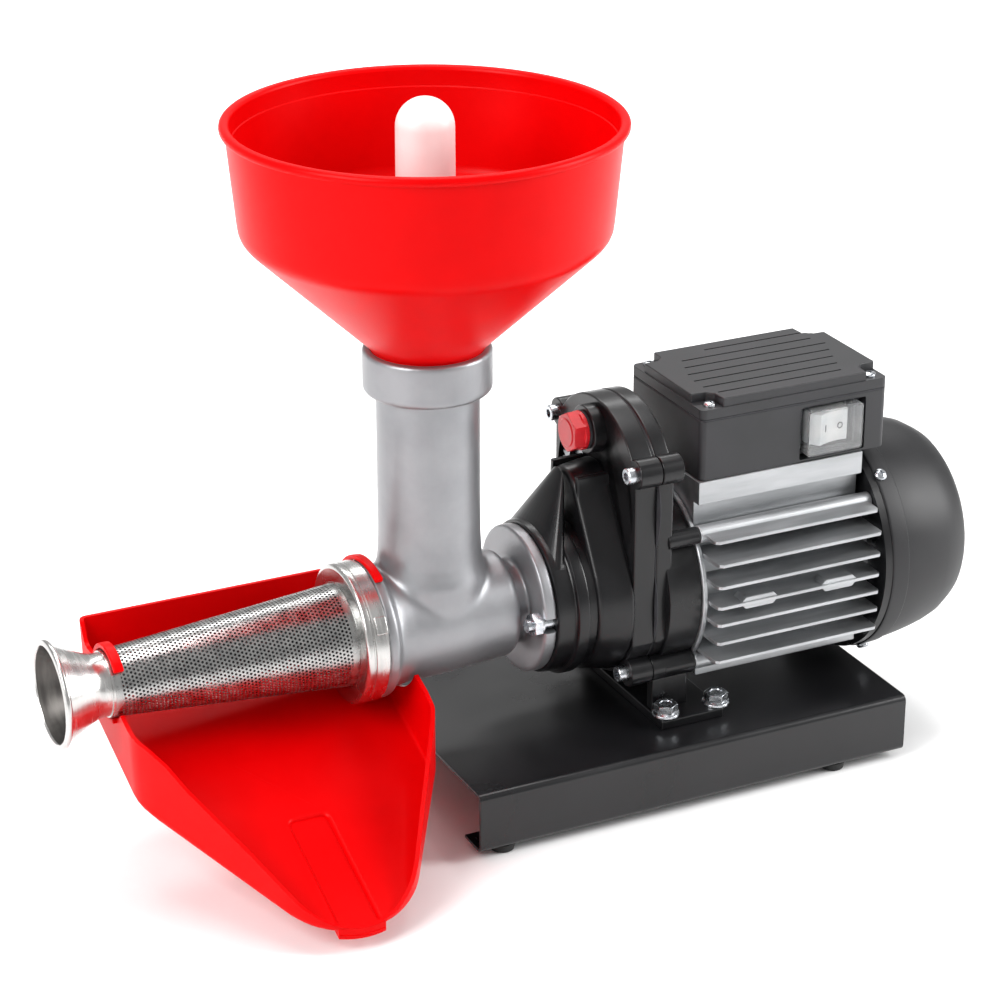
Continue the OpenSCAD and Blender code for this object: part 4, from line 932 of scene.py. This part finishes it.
def terminal_box():
    top, wall, radius = high("terminal_box", "Z"), 2.5, 4
    centre = ((BOX_X + BOX_END) / 2, 0)
    half_x = (BOX_END - BOX_X) / 2
    outline = rounded(half_x, BOX_HALF, radius, centre)
    box = prism("terminal_box_moulding", outline, BOX_Z, top - BOX_Z, along="Z")
    soften(box, 0.6, segments=2, angle=50)
    inside = rounded(half_x - wall, BOX_HALF - wall, radius - wall, centre)
    cut(box, prism("inside", inside, BOX_Z + wall, top - BOX_Z, along="Z"))
    parts = [
        rod("pillar", (x, y, BOX_Z + 1), top - BOX_Z - 1.2, PILLAR_R, along="Z", sides=32)
        for x, y in at_lid_screws()
    ]
    pocket_x, pocket_z = SWITCH_HALF_X + 2, SWITCH_HALF_Z + 0.5
    parts.append(block(
        "pocket_wall", (SWITCH_X - pocket_x - wall, -BOX_HALF + 1, BOX_Z + 0.5),
        (SWITCH_X + pocket_x + wall, SWITCH_FACE + wall, SWITCH_Z + pocket_z + wall),
    ))
    unite(box, *parts)
    mouth = rounded(pocket_x, pocket_z, 1.5, (SWITCH_X, SWITCH_Z))
    pocket = prism("pocket", mouth, -BOX_HALF - 5, SWITCH_FACE + BOX_HALF + 5, along="Y")
    window_x, window_z = 17, 13
    window = block(
        "window", (SWITCH_X - window_x, SWITCH_FACE - 3, SWITCH_Z - window_z),
        (SWITCH_X + window_x, SWITCH_FACE + 6, SWITCH_Z + window_z),
    )
    gland_x, gland_z = middle("cable_gland", "X"), middle("cable_gland", "Z")
    inlet = rod("inlet", (gland_x, BOX_HALF - 8, gland_z), 12, 6.1, along="Y")
    wires = block("wires", (57, -12, BOX_Z - 1), (81, 12, BOX_Z + wall + 1))
    cut(box, pocket, window, inlet, wires)
    for x, y in at_lid_screws():
        cut(box, rod("hole", (x, y, top - 14), 20, 1.8, along="Z", sides=16))
    finish(shade(box), BLACK_ABS, "frame", "black_plastic", "terminal_box")


def box_lid():
    """A shallow lid with its corners cut down to the screws and fine grooves along its top."""
    notch, chamfer = 14, 3.5
    centre, half_x = ((BOX_X + BOX_END) / 2, 0), (BOX_END - BOX_X) / 2
    outline = rounded(half_x, BOX_HALF, 4, centre)
    lid = prism("box_lid_moulding", outline, LID_Z, LID_LEDGE - LID_Z, along="Z")
    soften(lid, 0.6, segments=2, angle=50)
    plan = []
    for sx, sy in ((1, 1), (-1, 1), (-1, -1), (1, -1)):
        corner = [
            (half_x - 0.8, BOX_HALF - notch - 1), (half_x - notch + chamfer, BOX_HALF - notch - 0.5),
            (half_x - notch - 0.5, BOX_HALF - notch + chamfer), (half_x - notch - 1, BOX_HALF - 0.8),
        ]
        placed = [(centre[0] + sx * x, sy * y) for x, y in corner]
        plan += placed if sx * sy > 0 else placed[::-1]
    crown = prism("crown", plan, LID_LEDGE - 2, LID_TOP - LID_LEDGE + 2, along="Z")
    unite(lid, soften(crown, 0.8, segments=3, angle=50))
    inside = rounded(half_x - 2.5, BOX_HALF - 2.5, 2, centre)
    hollow = prism("hollow", inside, LID_Z - 1, LID_LEDGE - LID_Z - 1.5, along="Z")
    pillars = [
        rod("pillar", (x, y, LID_Z - 2), 12, PILLAR_R, along="Z", sides=32) for x, y in at_lid_screws()
    ]
    cut(hollow, *pillars)
    cut(lid, hollow)
    ends = ((-48, 38), (-52, 42), (-52, 46), (-50, 50), (-46, 54), (-42, 50), (-20, 54))
    groove_half, groove_deep, groove_pitch = 0.7, 0.9, 11
    for i, (left, right) in enumerate(ends):
        y = (i - 3) * groove_pitch
        cut(lid, block(
            "groove", (centre[0] + left, y - groove_half, LID_TOP - groove_deep),
            (centre[0] + right, y + groove_half, LID_TOP + 1),
        ))
    for x, y in at_lid_screws():
        cut(lid, rod("hole", (x, y, LID_Z - 1), 20, 2.3, along="Z", sides=20))
    finish(shade(lid), BLACK_ABS, "frame", "black_plastic", "box_lid")


def lid_screws():
    one = pan_screw("screw", PAN_HEAD_R, PAN_HEAD_H, 1.75, 16)
    screws = moved_copies(one, [(x, y, LID_LEDGE + SEAT) for x, y in at_lid_screws()])
    screws.name = "lid_pan_screws"
    finish(shade(screws), ZINC_PLATE, "frame", "zinc_steel", "lid_screws")


def switch():
    centre = (SWITCH_X, SWITCH_Z)
    front = low("switch_bezel", "Y")
    frame_plan = rounded(SWITCH_HALF_X, SWITCH_HALF_Z, 2.5, centre)
    bezel = prism("switch_bezel_moulding", frame_plan, front, SWITCH_FACE - SEAT - front, along="Y")
    soften(bezel, 0.6, segments=3, angle=50)
    hole_plan = rounded(SWITCH_HALF_X - 4, SWITCH_HALF_Z - 3.5, 1.5, centre)
    hole = prism("hole", hole_plan, front - 1, 8, along="Y")
    finish(shade(cut(bezel, hole)), BLACK_ABS, "frame", "black_plastic", "switch_bezel")

    cover_front, cover_back = low("switch_cover", "Y"), high("switch_cover", "Y")
    half_x = high("switch_cover", "X") - SWITCH_X
    half_z = high("switch_cover", "Z") - SWITCH_Z
    wall, depth = 1.2, cover_back - cover_front
    outline = rounded(half_x, half_z, 2.5, centre)
    cover = prism("switch_cover_moulding", outline, cover_front, depth, along="Y")
    soften(cover, 1.4, segments=4, angle=50)
    hollow_plan = rounded(half_x - wall, half_z - wall, 1.5, centre)
    inside = prism("inside", hollow_plan, cover_front + wall, depth, along="Y")
    finish(shade(cut(cover, inside)), CLEAR_PVC, "frame", "clear_plastic", "switch_cover")


# How far the rocker is tipped at rest, and its round back and dished face
ROCKER_TILT = 9
ROCKER_R, ROCKER_HALF, DISH_R, DISH_AT = 13.7, 10, 30, 7


def rocker():
    """The paddle round its pivot, then tipped and set in the bezel with its marks."""
    reach = 10.4
    across = [reach * (1 - i / 8) for i in range(17)]
    dish = [(x, -(DISH_AT + DISH_R - math.sqrt(DISH_R**2 - x * x))) for x in across]
    ends = math.degrees(math.atan2(dish[-1][1], dish[-1][0]))
    start = ends % 360
    back = arc((0, 0), ROCKER_R, start - 3, start - 360 + 2 * (270 - start) + 3, 40)
    paddle = prism("switch_rocker_moulding", dish + back, -ROCKER_HALF, 2 * ROCKER_HALF, along="Z")
    soften(paddle, 0.5, segments=3, angle=25)
    ring = lathe(
        "ring", [(0, 1.5), (0, 2.1), (0.3, 2.1), (0.3, 1.5)], mm(5.5, -8.1, 0), along="Y", steps=32
    )
    bar = block("bar", (-6, -7.9, -2.2), (-5.4, -7.5, 2.2))
    marks = join([ring, bar])
    marks.name = "rocker_marks"
    turn = Matrix.Rotation(math.radians(ROCKER_TILT), 4, "Z")
    for piece in (paddle, marks):
        piece.matrix_world = Matrix.Translation(mm(SWITCH_X, SWITCH_FACE, SWITCH_Z)) @ turn
        settle(piece)
    finish(shade(paddle), WHITE_ABS, "rocker", "rocker_plastic", "switch_rocker")
    finish(marks, BLACK_INK, "rocker", "rocker_plastic")


# Press
STUD_RING = 38.5
DISC_T, DISC_GAP = 8, 6.5
DISC_X = high("press_body", "X") - DISC_T
NECK_X = DISC_X - DISC_GAP - 2
COLLAR_TOP = high("press_body", "Z")
TUBE_R, TUBE_BORE = 30.3, 26.3
COLLAR_R, COLLAR_H = 37.8, 25.4
# The barrel under the feed tube, and how far the soft corner between them reaches
BARREL_R, CORNER_REACH = 35.5, 11


def near_junction(point):
    """How near a point is to the corner between barrel and feed tube, from 0 to 1."""
    x, y, z = point.x / MM - FEED_X, point.y / MM, point.z / MM - AXIS_Z
    from_tube = abs(math.hypot(x, y) - TUBE_R)
    from_barrel = abs(math.hypot(y, z) - BARREL_R)
    if z < 0:
        return 0
    return max(0, 1 - max(from_tube, from_barrel) / CORNER_REACH)


def press_body():
    """Barrel, feed tube and flange cast in one: the corners are drawn together by smoothing."""
    length, socket_r, neck_r = NECK_X - SOCKET_X, 41.5, 24.5
    barrel = lathe(
        "press_body_casting",
        [(0, 0), (0, socket_r - 0.8), (0.8, socket_r), (5.7, socket_r), (6.5, socket_r - 0.8), (9.5, 37.4),
         (14, 36.6), (20, 36), (44, 35.4), (70, 34), (length - 4, 33), (length - 1, 31.5), (length, 29),
         (length + 0.5, neck_r), (length + DISC_GAP + 3, neck_r), (length + DISC_GAP + 3, 0)],
        mm(SOCKET_X, 0, AXIS_Z), steps=160,
    )
    height = COLLAR_TOP - AXIS_Z
    collar_low = height - COLLAR_H
    tube = lathe(
        "tube",
        [(0, 0), (0, 33), (30, 33.5), (36, 32), (42, 31), (56, TUBE_R), (collar_low - 2, TUBE_R),
         (collar_low - 0.5, TUBE_R + 0.8), (collar_low, COLLAR_R - 1.2), (collar_low + 1.6, COLLAR_R),
         (height - 1, COLLAR_R), (height, COLLAR_R - 1), (height, 0)],
        mm(FEED_X, 0, AXIS_Z), along="Z", steps=128,
    )
    disc = round_bar("disc", (DISC_X, 0, AXIS_Z), DISC_T, 45.5, edge=1.2, sides=128)
    unite(barrel, tube, disc)
    # Cells of 1.15 mm are fine enough for the collar's edge and coarse enough to smooth the corner
    apply(barrel, "REMESH", mode="VOXEL", voxel_size=1.15 * MM)
    corner = barrel.vertex_groups.new(name="corner")
    for vertex in barrel.data.vertices:
        weight = near_junction(vertex.co)
        if weight > 0:
            corner.add([vertex.index], weight, "REPLACE")
    apply(barrel, "SMOOTH", factor=0.5, iterations=60, vertex_group="corner")
    apply(barrel, "SMOOTH", factor=0.5, iterations=4)
    slot_half = 4.6
    slots = [
        block("slot", (DISC_X - 1, side * (STUD_RING - 4), AXIS_Z - slot_half),
              (DISC_X + DISC_T + 1, side * (STUD_RING + 14), AXIS_Z + slot_half))
        for side in (-1, 1)
    ]
    barrel_bore, shaft_bore, collar_bore, collar_deep = 29.3, 10.5, COLLAR_R - 4.3, 22.2
    bores = [
        rod("bore", (SOCKET_X - 1, 0, AXIS_Z), length - 2, barrel_bore, sides=96),
        rod("bore", (NECK_X - 4, 0, AXIS_Z), 20, shaft_bore),
        rod("bore", (FEED_X, 0, AXIS_Z), height + 1, TUBE_BORE, along="Z", sides=96),
        rod("bore", (FEED_X, 0, COLLAR_TOP - collar_deep), 30, collar_bore, along="Z", sides=96),
    ]
    cut(barrel, *bores, *slots)
    finish(shade(barrel, 40), SILVER_CASTING, "frame", "silver_paint", "press_body")


def flange_nuts():
    nuts = []
    for side in (-1, 1):
        nut = hexagon("nut", 13, 5.2, bore=4)
        aim(nut, (DISC_X - 1.3, side * STUD_RING, AXIS_Z), (-1, 0, 0))
        foot = lathe(
            "foot", [(0, 4), (0, 6.2), (0.3, 6.5), (1.4, 6.5), (1.4, 4)],
            mm(DISC_X - 1.5, side * STUD_RING, AXIS_Z), steps=40,
        )
        nuts.append(join([soften(nut, 0.15, angle=45), foot]))
    finish(shade(join(nuts)), ZINC_PLATE, "frame", "zinc_steel", "flange_nuts").name = "flange_hex_nuts"


def bayonet_ring():
    """A pressed ring with a rolled front edge and three small lugs."""
    length, radius = high("bayonet_ring", "X") - RING_X, 42.5
    inside, hole, web = radius - 5.2, 32.05, 1.5
    outline = [
        (0, hole), (0, 36), (0.4, 38.2), (0.2, 39.5), (0.4, radius - 1.6), (1.2, radius - 0.5), (2.4, radius),
        (4.4, radius - 0.2), (5, radius - 1), (5.6, radius - 1), (6.2, radius - 0.2), (length - 1, radius),
        (length, radius - 1), (length, inside + 0.5), (length - 0.5, inside), (web, inside), (web, hole),
    ]
    ring = lathe("bayonet_ring_pressing", outline, mm(RING_X, 0, AXIS_Z), steps=160)
    lug = arc((0, 0), radius + 1.6, 83, 97, 6) + arc((0, 0), radius - 0.6, 97, 83, 6)
    first = prism("lug", [(y, z + AXIS_Z) for y, z in lug], RING_X + length - 8, 7)
    unite(ring, turned_copies(soften(first, 0.6, segments=3), (62, 182, 302)))
    finish(shade(ring), POLISHED_STAINLESS, "screen", "stainless", "bayonet_ring")


CONE_BIG, CONE_SMALL, SHEET = 31, 19.5, 0.8
HOLE_PITCH, HOLE_R = 2.5, 0.72


def filter_cone():
    """A punched sheet: hexagon cells, each with its real hole, laid out flat and then rolled to a cone."""
    length = RING_X - CONE_X
    slope = math.atan2(CONE_BIG - CONE_SMALL, length)
    spread_by = math.sin(slope)
    near, far = CONE_SMALL / spread_by, CONE_BIG / spread_by
    half_turn = math.pi * spread_by
    deselect()
    cell_r = HOLE_PITCH / math.sqrt(3)
    bpy.ops.mesh.primitive_circle_add(vertices=6, radius=cell_r * MM, fill_type="NGON")
    sheet = settle(bpy.context.object)
    sheet.name = "filter_cone_sheet"
    edit(sheet)
    bpy.ops.mesh.inset(thickness=(cell_r - HOLE_R / math.cos(math.pi / 6)) * MM * math.cos(math.pi / 6))
    bpy.ops.mesh.delete(type="FACE")
    leave()
    # A circle's first corner points along Y, so rows stand half a pitch apart in X
    row = HOLE_PITCH * math.sqrt(3) / 2
    across = math.ceil(far * half_turn / HOLE_PITCH) + 1
    rows = math.ceil((far - near * math.cos(half_turn)) / row) + 2
    columns = 2 * across + 1

    def repeat(count, step):
        apply(
            sheet, "ARRAY", count=count, use_relative_offset=False, use_constant_offset=True,
            constant_offset_displace=step, use_merge_vertices=True, merge_threshold=0.05 * MM,
        )

    repeat(columns, mm(HOLE_PITCH, 0, 0))
    pair = duplicate(sheet)
    pair.location = mm(HOLE_PITCH / 2, row, 0)
    join([sheet, settle(pair)])
    repeat(math.ceil(rows / 2), mm(0, 2 * row, 0))
    sheet.location = mm(-across * HOLE_PITCH, near * math.cos(half_turn) - row, 0)
    settle(sheet)

    def on_fan(vertex):
        """Distance from the cone's point and angle, on the flat sheet."""
        place = vertex.co / MM
        return math.hypot(place.x, place.y), math.atan2(place.x, place.y)

    end_margin, seam_margin = 1.5, 0.8

    def off_sheet(vertex):
        reach, turn = on_fan(vertex)
        past_end = not near + end_margin < reach < far - end_margin
        return past_end or abs(turn) * reach > half_turn * reach - seam_margin

    remove(sheet, "VERT", off_sheet)
    for vertex in sheet.data.vertices:
        reach, turn = on_fan(vertex)
        radius, around = reach * spread_by, turn / spread_by
        station = CONE_X + (reach - near) * math.cos(slope)
        vertex.co = mm(station, radius * math.sin(around), AXIS_Z + radius * math.cos(around))
    edit(sheet)
    bpy.ops.mesh.remove_doubles(threshold=0.02 * MM)
    bpy.ops.mesh.normals_make_consistent(inside=False)
    leave()
    apply(sheet, "SOLIDIFY", thickness=SHEET * MM, offset=-1)
    # The unpunched bands at both ends stand a little proud of the sheet, inside and out
    plain, inner, outer = 4, SHEET + 0.05, 0.08
    rise = math.tan(slope) * plain
    bands = []
    for start, first in ((0, CONE_SMALL), (length - plain, CONE_BIG - rise)):
        bands.append(lathe(
            "band",
            [(start, first - inner), (start, first + outer), (start + plain, first + rise + outer),
             (start + plain, first + rise - inner)],
            mm(CONE_X, 0, AXIS_Z), steps=128,
        ))
    collar_end = high("filter_cone", "X") - CONE_X
    collar = lathe(
        "collar",
        [(length - 0.2, CONE_BIG - SHEET), (length - 0.2, CONE_BIG + 0.2), (length, CONE_BIG + 1),
         (collar_end, CONE_BIG + 1), (collar_end, CONE_BIG + 0.2), (length + 1, CONE_BIG + 0.2)],
        mm(CONE_X, 0, AXIS_Z), steps=128,
    )
    seam_low, seam_high, seam_w = AXIS_Z - CONE_SMALL, AXIS_Z - CONE_BIG, 5
    seam_plan = [
        (CONE_X, seam_low - 0.1), (CONE_X, seam_low + SHEET), (RING_X, seam_high + SHEET),
        (RING_X, seam_high - 0.1),
    ]
    seam = prism("seam", seam_plan, -seam_w / 2, seam_w, along="Y")
    join([sheet, *bands, collar, seam])
    finish(shade(sheet, 40), PUNCHED_STAINLESS, "screen", "stainless", "filter_cone")


def waste_spout():
    """A spun trumpet with a rolled lip."""
    mouth_r, neck_r, wall, lip = 32, 18.7, 1.3, 2.2
    length = CONE_X - MOUTH_X
    flare = [
        (3.8, mouth_r - 3), (7, mouth_r - 4.4), (10.5, 26), (14.5, 24), (19, 21.8), (23, 20), (26.5, neck_r),
    ]
    turns = [math.pi * i / 8 for i in range(2, 9)]
    rim = [(lip - lip * math.cos(turn), mouth_r - lip + lip * math.sin(turn)) for turn in turns]
    outside = rim + flare
    outside += [(length - 1.5, neck_r), (length - 1.5, CONE_SMALL), (length - SEAT, CONE_SMALL)]
    inside = [(length - SEAT, neck_r - wall)] + [(x, r - wall) for x, r in flare[::-1]]
    inside += [(1.2, mouth_r - lip - 1.6), (0.3, mouth_r - lip - 0.9)]
    spout = lathe("waste_spout_spinning", outside + inside, mm(MOUTH_X, 0, AXIS_Z), steps=160)
    finish(shade(spout, 50), POLISHED_STAINLESS, "screen", "stainless", "waste_spout")
    # The inside of the trumpet, behind its lip, gets the darker stainless: painted shade of the hollow on a
    # duller satin
    spout.data.materials.append(SHADED_SPOUT_STAINLESS)
    for face in spout.data.polygons:
        outward = face.normal.y * face.center.y + face.normal.z * (face.center.z - AXIS_Z * MM)
        if outward < 0 and face.center.x > (MOUTH_X + lip) * MM:
            face.material_index = 1


def hopper():
    """A moulded funnel: neck, cone, upright wall with a faint step inside, and a rolled rim."""
    top = high("hopper", "Z")
    bead, wall = 3, 2.5
    rim_r, rim_z = 112, top - 3
    foot_z, foot_r = AXIS_Z + 244, 106.8
    neck_low, neck_r, cone_low = low("hopper", "Z"), 33.2, AXIS_Z + 174.2
    outside = [
        (neck_low, neck_r - 0.5), (neck_low + 0.8, neck_r), (COLLAR_TOP + 0.4, neck_r),
        (cone_low + 1.6, neck_r + 2.8), (foot_z - 7, foot_r - 6.2), (foot_z - 4.4, foot_r - 3.6),
        (foot_z - 1.8, foot_r - 1.7), (foot_z + 1, foot_r - 0.6), (foot_z + 5, foot_r),
        (rim_z - 2.2, rim_r - 0.2),
    ]
    turns = [math.radians(degrees) for degrees in range(-40, 200, 20)]
    outside += [(rim_z + bead * math.sin(turn), rim_r + bead * math.cos(turn)) for turn in turns]
    rim_in, foot_in = rim_r - wall, foot_r - wall
    inside = [
        (rim_z - 3, rim_in - 0.3), (rim_z - 9, rim_in - 0.7), (rim_z - 9.6, rim_in - 1.3),
        (foot_z + 5, foot_in), (foot_z + 1.6, foot_in - 0.8), (foot_z - 1, foot_in - 2.6),
        (foot_z - 4, foot_in - 6),
        (cone_low + 5, neck_r + 1.4), (cone_low + 2.4, neck_r - 1.2), (cone_low, neck_r - 2.4),
        (neck_low, neck_r - 2.6),
    ]
    funnel = lathe("hopper_moulding", outside + inside, mm(FEED_X, 0, 0), along="Z", steps=192)
    finish(shade(funnel, 30), RED_POLYPROPYLENE, "hopper_set", "red_plastic", "hopper")


def pusher():
    """A round stick with a domed top and a wider foot that fits the feed tube."""
    foot_z, top = low("pusher", "Z"), high("pusher", "Z")
    radius, foot_r = 16.8, 24
    profile = [
        (foot_z, 0), (foot_z, foot_r - 1.5), (foot_z + 0.5, foot_r - 0.5), (foot_z + 1.5, foot_r),
        (foot_z + 11, foot_r), (foot_z + 13, foot_r - 0.8), (foot_z + 21, radius + 1.8),
        (foot_z + 24, radius + 1.2),
    ]
    turns = [math.pi / 2 * i / 12 for i in range(12)]
    profile += [(top - radius + radius * math.sin(turn), radius * math.cos(turn)) for turn in turns]
    profile.append((top, 0))
    plunger = lathe("pusher_moulding", profile, mm(FEED_X, 0, 0), along="Z", steps=96)
    finish(shade(plunger, 50), WHITE_POLYETHYLENE, "plunger", "white_plastic", "pusher")


# Chute
CHUTE_LEFT = low("chute", "X")
CHUTE_BACK, CHUTE_REACH = high("chute", "Y"), 148.5
CHUTE_WALL, CHUTE_SLOPE, TIP_CLEAR = 2.5, 0.39, 11
TIP_R, TAPER = 49, 32
CHANNEL_HALF, CHANNEL_DEEP, CHANNEL_END = 14, 2.6, -65.5


def floor_at(y):
    return TIP_CLEAR + CHUTE_SLOPE * (y + CHUTE_REACH)


def chute_plan():
    """Seen from above: straight sides that close in on a round tip, with eased corners."""
    left, right = CONE_X + 1, FEED_X - 23
    tip_x = (left + right) / 2 + 6
    tip_y = TIP_R - CHUTE_REACH
    lean = math.radians(TAPER)
    back_r = 5

    def eased(edge, ease):
        """Rounds the place where an end wall meets the tapering side, going towards the tip."""
        half = abs(edge - tip_x)
        inward = math.copysign(1, tip_x - edge)
        y = tip_y + (half * math.cos(lean) - TIP_R) / math.sin(lean)
        slant = ease / math.tan(lean)
        return [
            (edge + inward * ease * away, y + slant * along)
            for away, along in ((0, 0.62), (0.05, 0.3), (0.2, 0), (0.42, -0.28), (0.7, -0.62))
        ]

    points = arc((left + back_r, CHUTE_BACK - back_r), back_r, 90, 180, 5)
    points += eased(left, 10)
    points += [(tip_x + x, py) for x, py in arc((0, tip_y), TIP_R, 180 + TAPER, 360 - TAPER, 24)]
    points += eased(right, 3.5)[::-1]
    points += arc((right - back_r, CHUTE_BACK - back_r), back_r, 0, 90, 5)
    return points, tip_x


def bevel_floor(body, width):
    """Rounds only the edge where the walls meet the sloping floor."""
    edit(body)
    bpy.ops.mesh.select_all(action="DESELECT")
    leave()
    level = [abs(v.co.z / MM - floor_at(v.co.y / MM)) < 0.05 for v in body.data.vertices]
    for edge in body.data.edges:
        edge.select = level[edge.vertices[0]] and level[edge.vertices[1]]
    bpy.ops.object.mode_set(mode="EDIT")
    bpy.ops.mesh.bevel(offset=width * MM, segments=5)
    leave()


def chute():
    """A scoop: the plan cut off by the floor and by the line of the wall tops, hollowed and rounded."""
    plan, tip_x = chute_plan()
    bottom, top = -20, AXIS_Z + 24
    body = prism("chute_moulding", plan, bottom, top - bottom, along="Z")
    # The end wall by the spout leans in towards the floor
    lean_in, steady_half = 5, 30
    for vertex in body.data.vertices:
        off = tip_x - steady_half - vertex.co.x / MM
        if vertex.co.z < 0 and off > 0:
            vertex.co.x += lean_in * off / (tip_x - plan[0][0] - steady_half) * MM
    limit = duplicate(body)
    edit(body)
    bpy.ops.mesh.bisect(
        plane_co=mm(0, -CHUTE_REACH, TIP_CLEAR), plane_no=(0, -CHUTE_SLOPE, 1),
        use_fill=True, clear_inner=True,
    )
    leave()
    bevel_floor(body, 5)
    channel_x, corner_r = tip_x - 3, 6
    inner_y = CHANNEL_END - corner_r
    channel_plan = arc((channel_x + CHANNEL_HALF - corner_r, inner_y), corner_r, 0, 90, 6)
    channel_plan += arc((channel_x - CHANNEL_HALF + corner_r, inner_y), corner_r, 90, 180, 6)
    channel_plan += [(channel_x + side * CHANNEL_HALF, -CHUTE_REACH - 5) for side in (-1, 1)]
    channel = prism("channel", channel_plan, bottom, AXIS_Z, along="Z")
    edit(channel)
    for rise, normal in ((-CHANNEL_DEEP, 1), (4, -1)):
        bpy.ops.mesh.select_all(action="SELECT")
        bpy.ops.mesh.bisect(
            plane_co=mm(0, -CHUTE_REACH, TIP_CLEAR + rise), plane_no=(0, -CHUTE_SLOPE * normal, normal),
            use_fill=True, clear_inner=True,
        )
    leave()
    apply(channel, "BOOLEAN", operation="INTERSECT", object=limit, solver="EXACT")
    bpy.data.objects.remove(limit)
    unite(body, channel)
    # The line of the wall tops, from the back wall down to the tip, and then round above them
    rim = [
        (CHUTE_BACK + 1, 20), (CHUTE_BACK - 2, 20), (CHUTE_BACK - 4.6, 18.8), (CHUTE_BACK - 6.6, 15.6),
        (CHUTE_BACK - 9, 9.4), (CHUTE_BACK - 11, 7), (CHUTE_BACK - 15, 6), (8, 6), (2, 3.4), (-14, -12),
        (-22, -15.6), (-46, -24.2), (-56, -30), (-68, -41), (-104, -67), (-128, -86),
        (-CHUTE_REACH - 1, -106), (-CHUTE_REACH - 1, 90), (CHUTE_BACK + 1, 90),
    ]
    above = [(y, AXIS_Z + z) for y, z in rim]
    cut(body, prism("above", above, -400, 300))
    # What faces up is the floor, the channel and the wall tops: the scoop is open there
    remove(body, "FACE", lambda face: face.normal.z > 0.17)
    soften(body, 1, segments=3, angle=35)
    apply(body, "SOLIDIFY", thickness=CHUTE_WALL * MM, offset=-1)
    soften(body, 0.9, segments=3, angle=60)
    neck_clip, barrel_clip, barrel_room, bite, wall = 20.6, 42, 38, 1, 3
    hook_x = SOCKET_X + 0.5
    cut(
        body,
        rod("neck_room", (CHUTE_LEFT - 10, 0, AXIS_Z), 25, neck_clip + bite, sides=96),
        rod("clip_room", (hook_x - 1, 0, AXIS_Z), 13, barrel_clip + bite, sides=96),
        rod("barrel_room", (hook_x, 0, AXIS_Z), 35, barrel_room, sides=96),
    )
    clips = []
    for start, width, radius, first, last in (
        (CHUTE_LEFT, 6, neck_clip, -50, 205), (hook_x, 5, barrel_clip, -26, 130)
    ):
        band = arc((0, 0), radius + wall, 90 - first, 90 - last, 40)
        band += arc((0, 0), radius, 90 - last, 90 - first, 40)
        clip = prism("clip", [(y, z + AXIS_Z) for y, z in band], start, width)
        clips.append(soften(clip, 0.7, segments=3, angle=50))
    clips.append(block(
        "hook", (hook_x, barrel_clip + bite, AXIS_Z - 28), (hook_x + 5, CHUTE_BACK - 0.5, AXIS_Z + 16)
    ))
    join([body, *clips])
    finish(shade(body, 40), RED_POLYPROPYLENE, "juice_chute", "red_plastic", "chute")


# Camera, light and floor


def camera():
    spot, target = mm(-796.8, -1448.2, 887.1), mm(-90.5, 0, 186.5)
    deselect()
    bpy.ops.object.camera_add(location=spot)
    eye = bpy.context.object
    eye.name = "photo_camera"
    eye.rotation_euler = (target - spot).to_track_quat("-Z", "Y").to_euler()
    focal_px, width_px, sensor = 2950, 1000, 36
    eye.data.sensor_width = sensor
    eye.data.lens = focal_px / width_px * sensor
    eye.data.clip_end = 20
    bpy.context.scene.camera = eye


def softbox(name, place, target, size, power):
    deselect()
    bpy.ops.object.light_add(type="AREA", location=Vector(place) * MM)
    light = bpy.context.object
    light.name = name
    light.data.shape = "RECTANGLE"
    light.data.size, light.data.size_y = size[0] * MM, size[1] * MM
    light.data.energy = power
    light.rotation_euler = (Vector(target) * MM - light.location).to_track_quat("-Z", "Y").to_euler()


def studio():
    deselect()
    bpy.ops.mesh.primitive_plane_add(size=12)
    floor = bpy.context.object
    floor.name = "studio_floor"
    paper = surface("white_paper", "F4F4F4", "F8F8F8", (0.7, 0.8), 80, 2, 0.01)
    floor.data.materials.append(paper)
    world = bpy.data.worlds.new("studio_world")
    bpy.context.scene.world = world
    world.use_nodes = True
    world.node_tree.nodes["Background"].inputs["Color"].default_value = (1, 1, 1, 1)
    world.node_tree.nodes["Background"].inputs["Strength"].default_value = 0.45
    softbox("left_softbox", (-1500, -450, 1100), (-80, 0, 180), (800, 1100), 26)
    softbox("right_softbox", (1450, -780, 900), (0, 0, 180), (700, 1100), 31)
    softbox("top_softbox", (0, 250, 1700), (0, 0, 150), (1300, 800), 18)
    softbox("floor_softbox", (1200, 3000, 3000), (1600, 5000, 0), (3500, 3500), 320)
    bpy.context.scene.view_settings.view_transform = "Standard"


camera()
studio()
dress_solids()
base_plate()
rubber_feet()
foot_bolts()
front_casing()
rear_casing()
casing_screws()
oil_plug()
motor_housing()
fan_cover()
fan_cover_screws()
terminal_box()
box_lid()
lid_screws()
switch()
rocker()
press_body()
flange_nuts()
bayonet_ring()
filter_cone()
waste_spout()
hopper()
pusher()
chute()
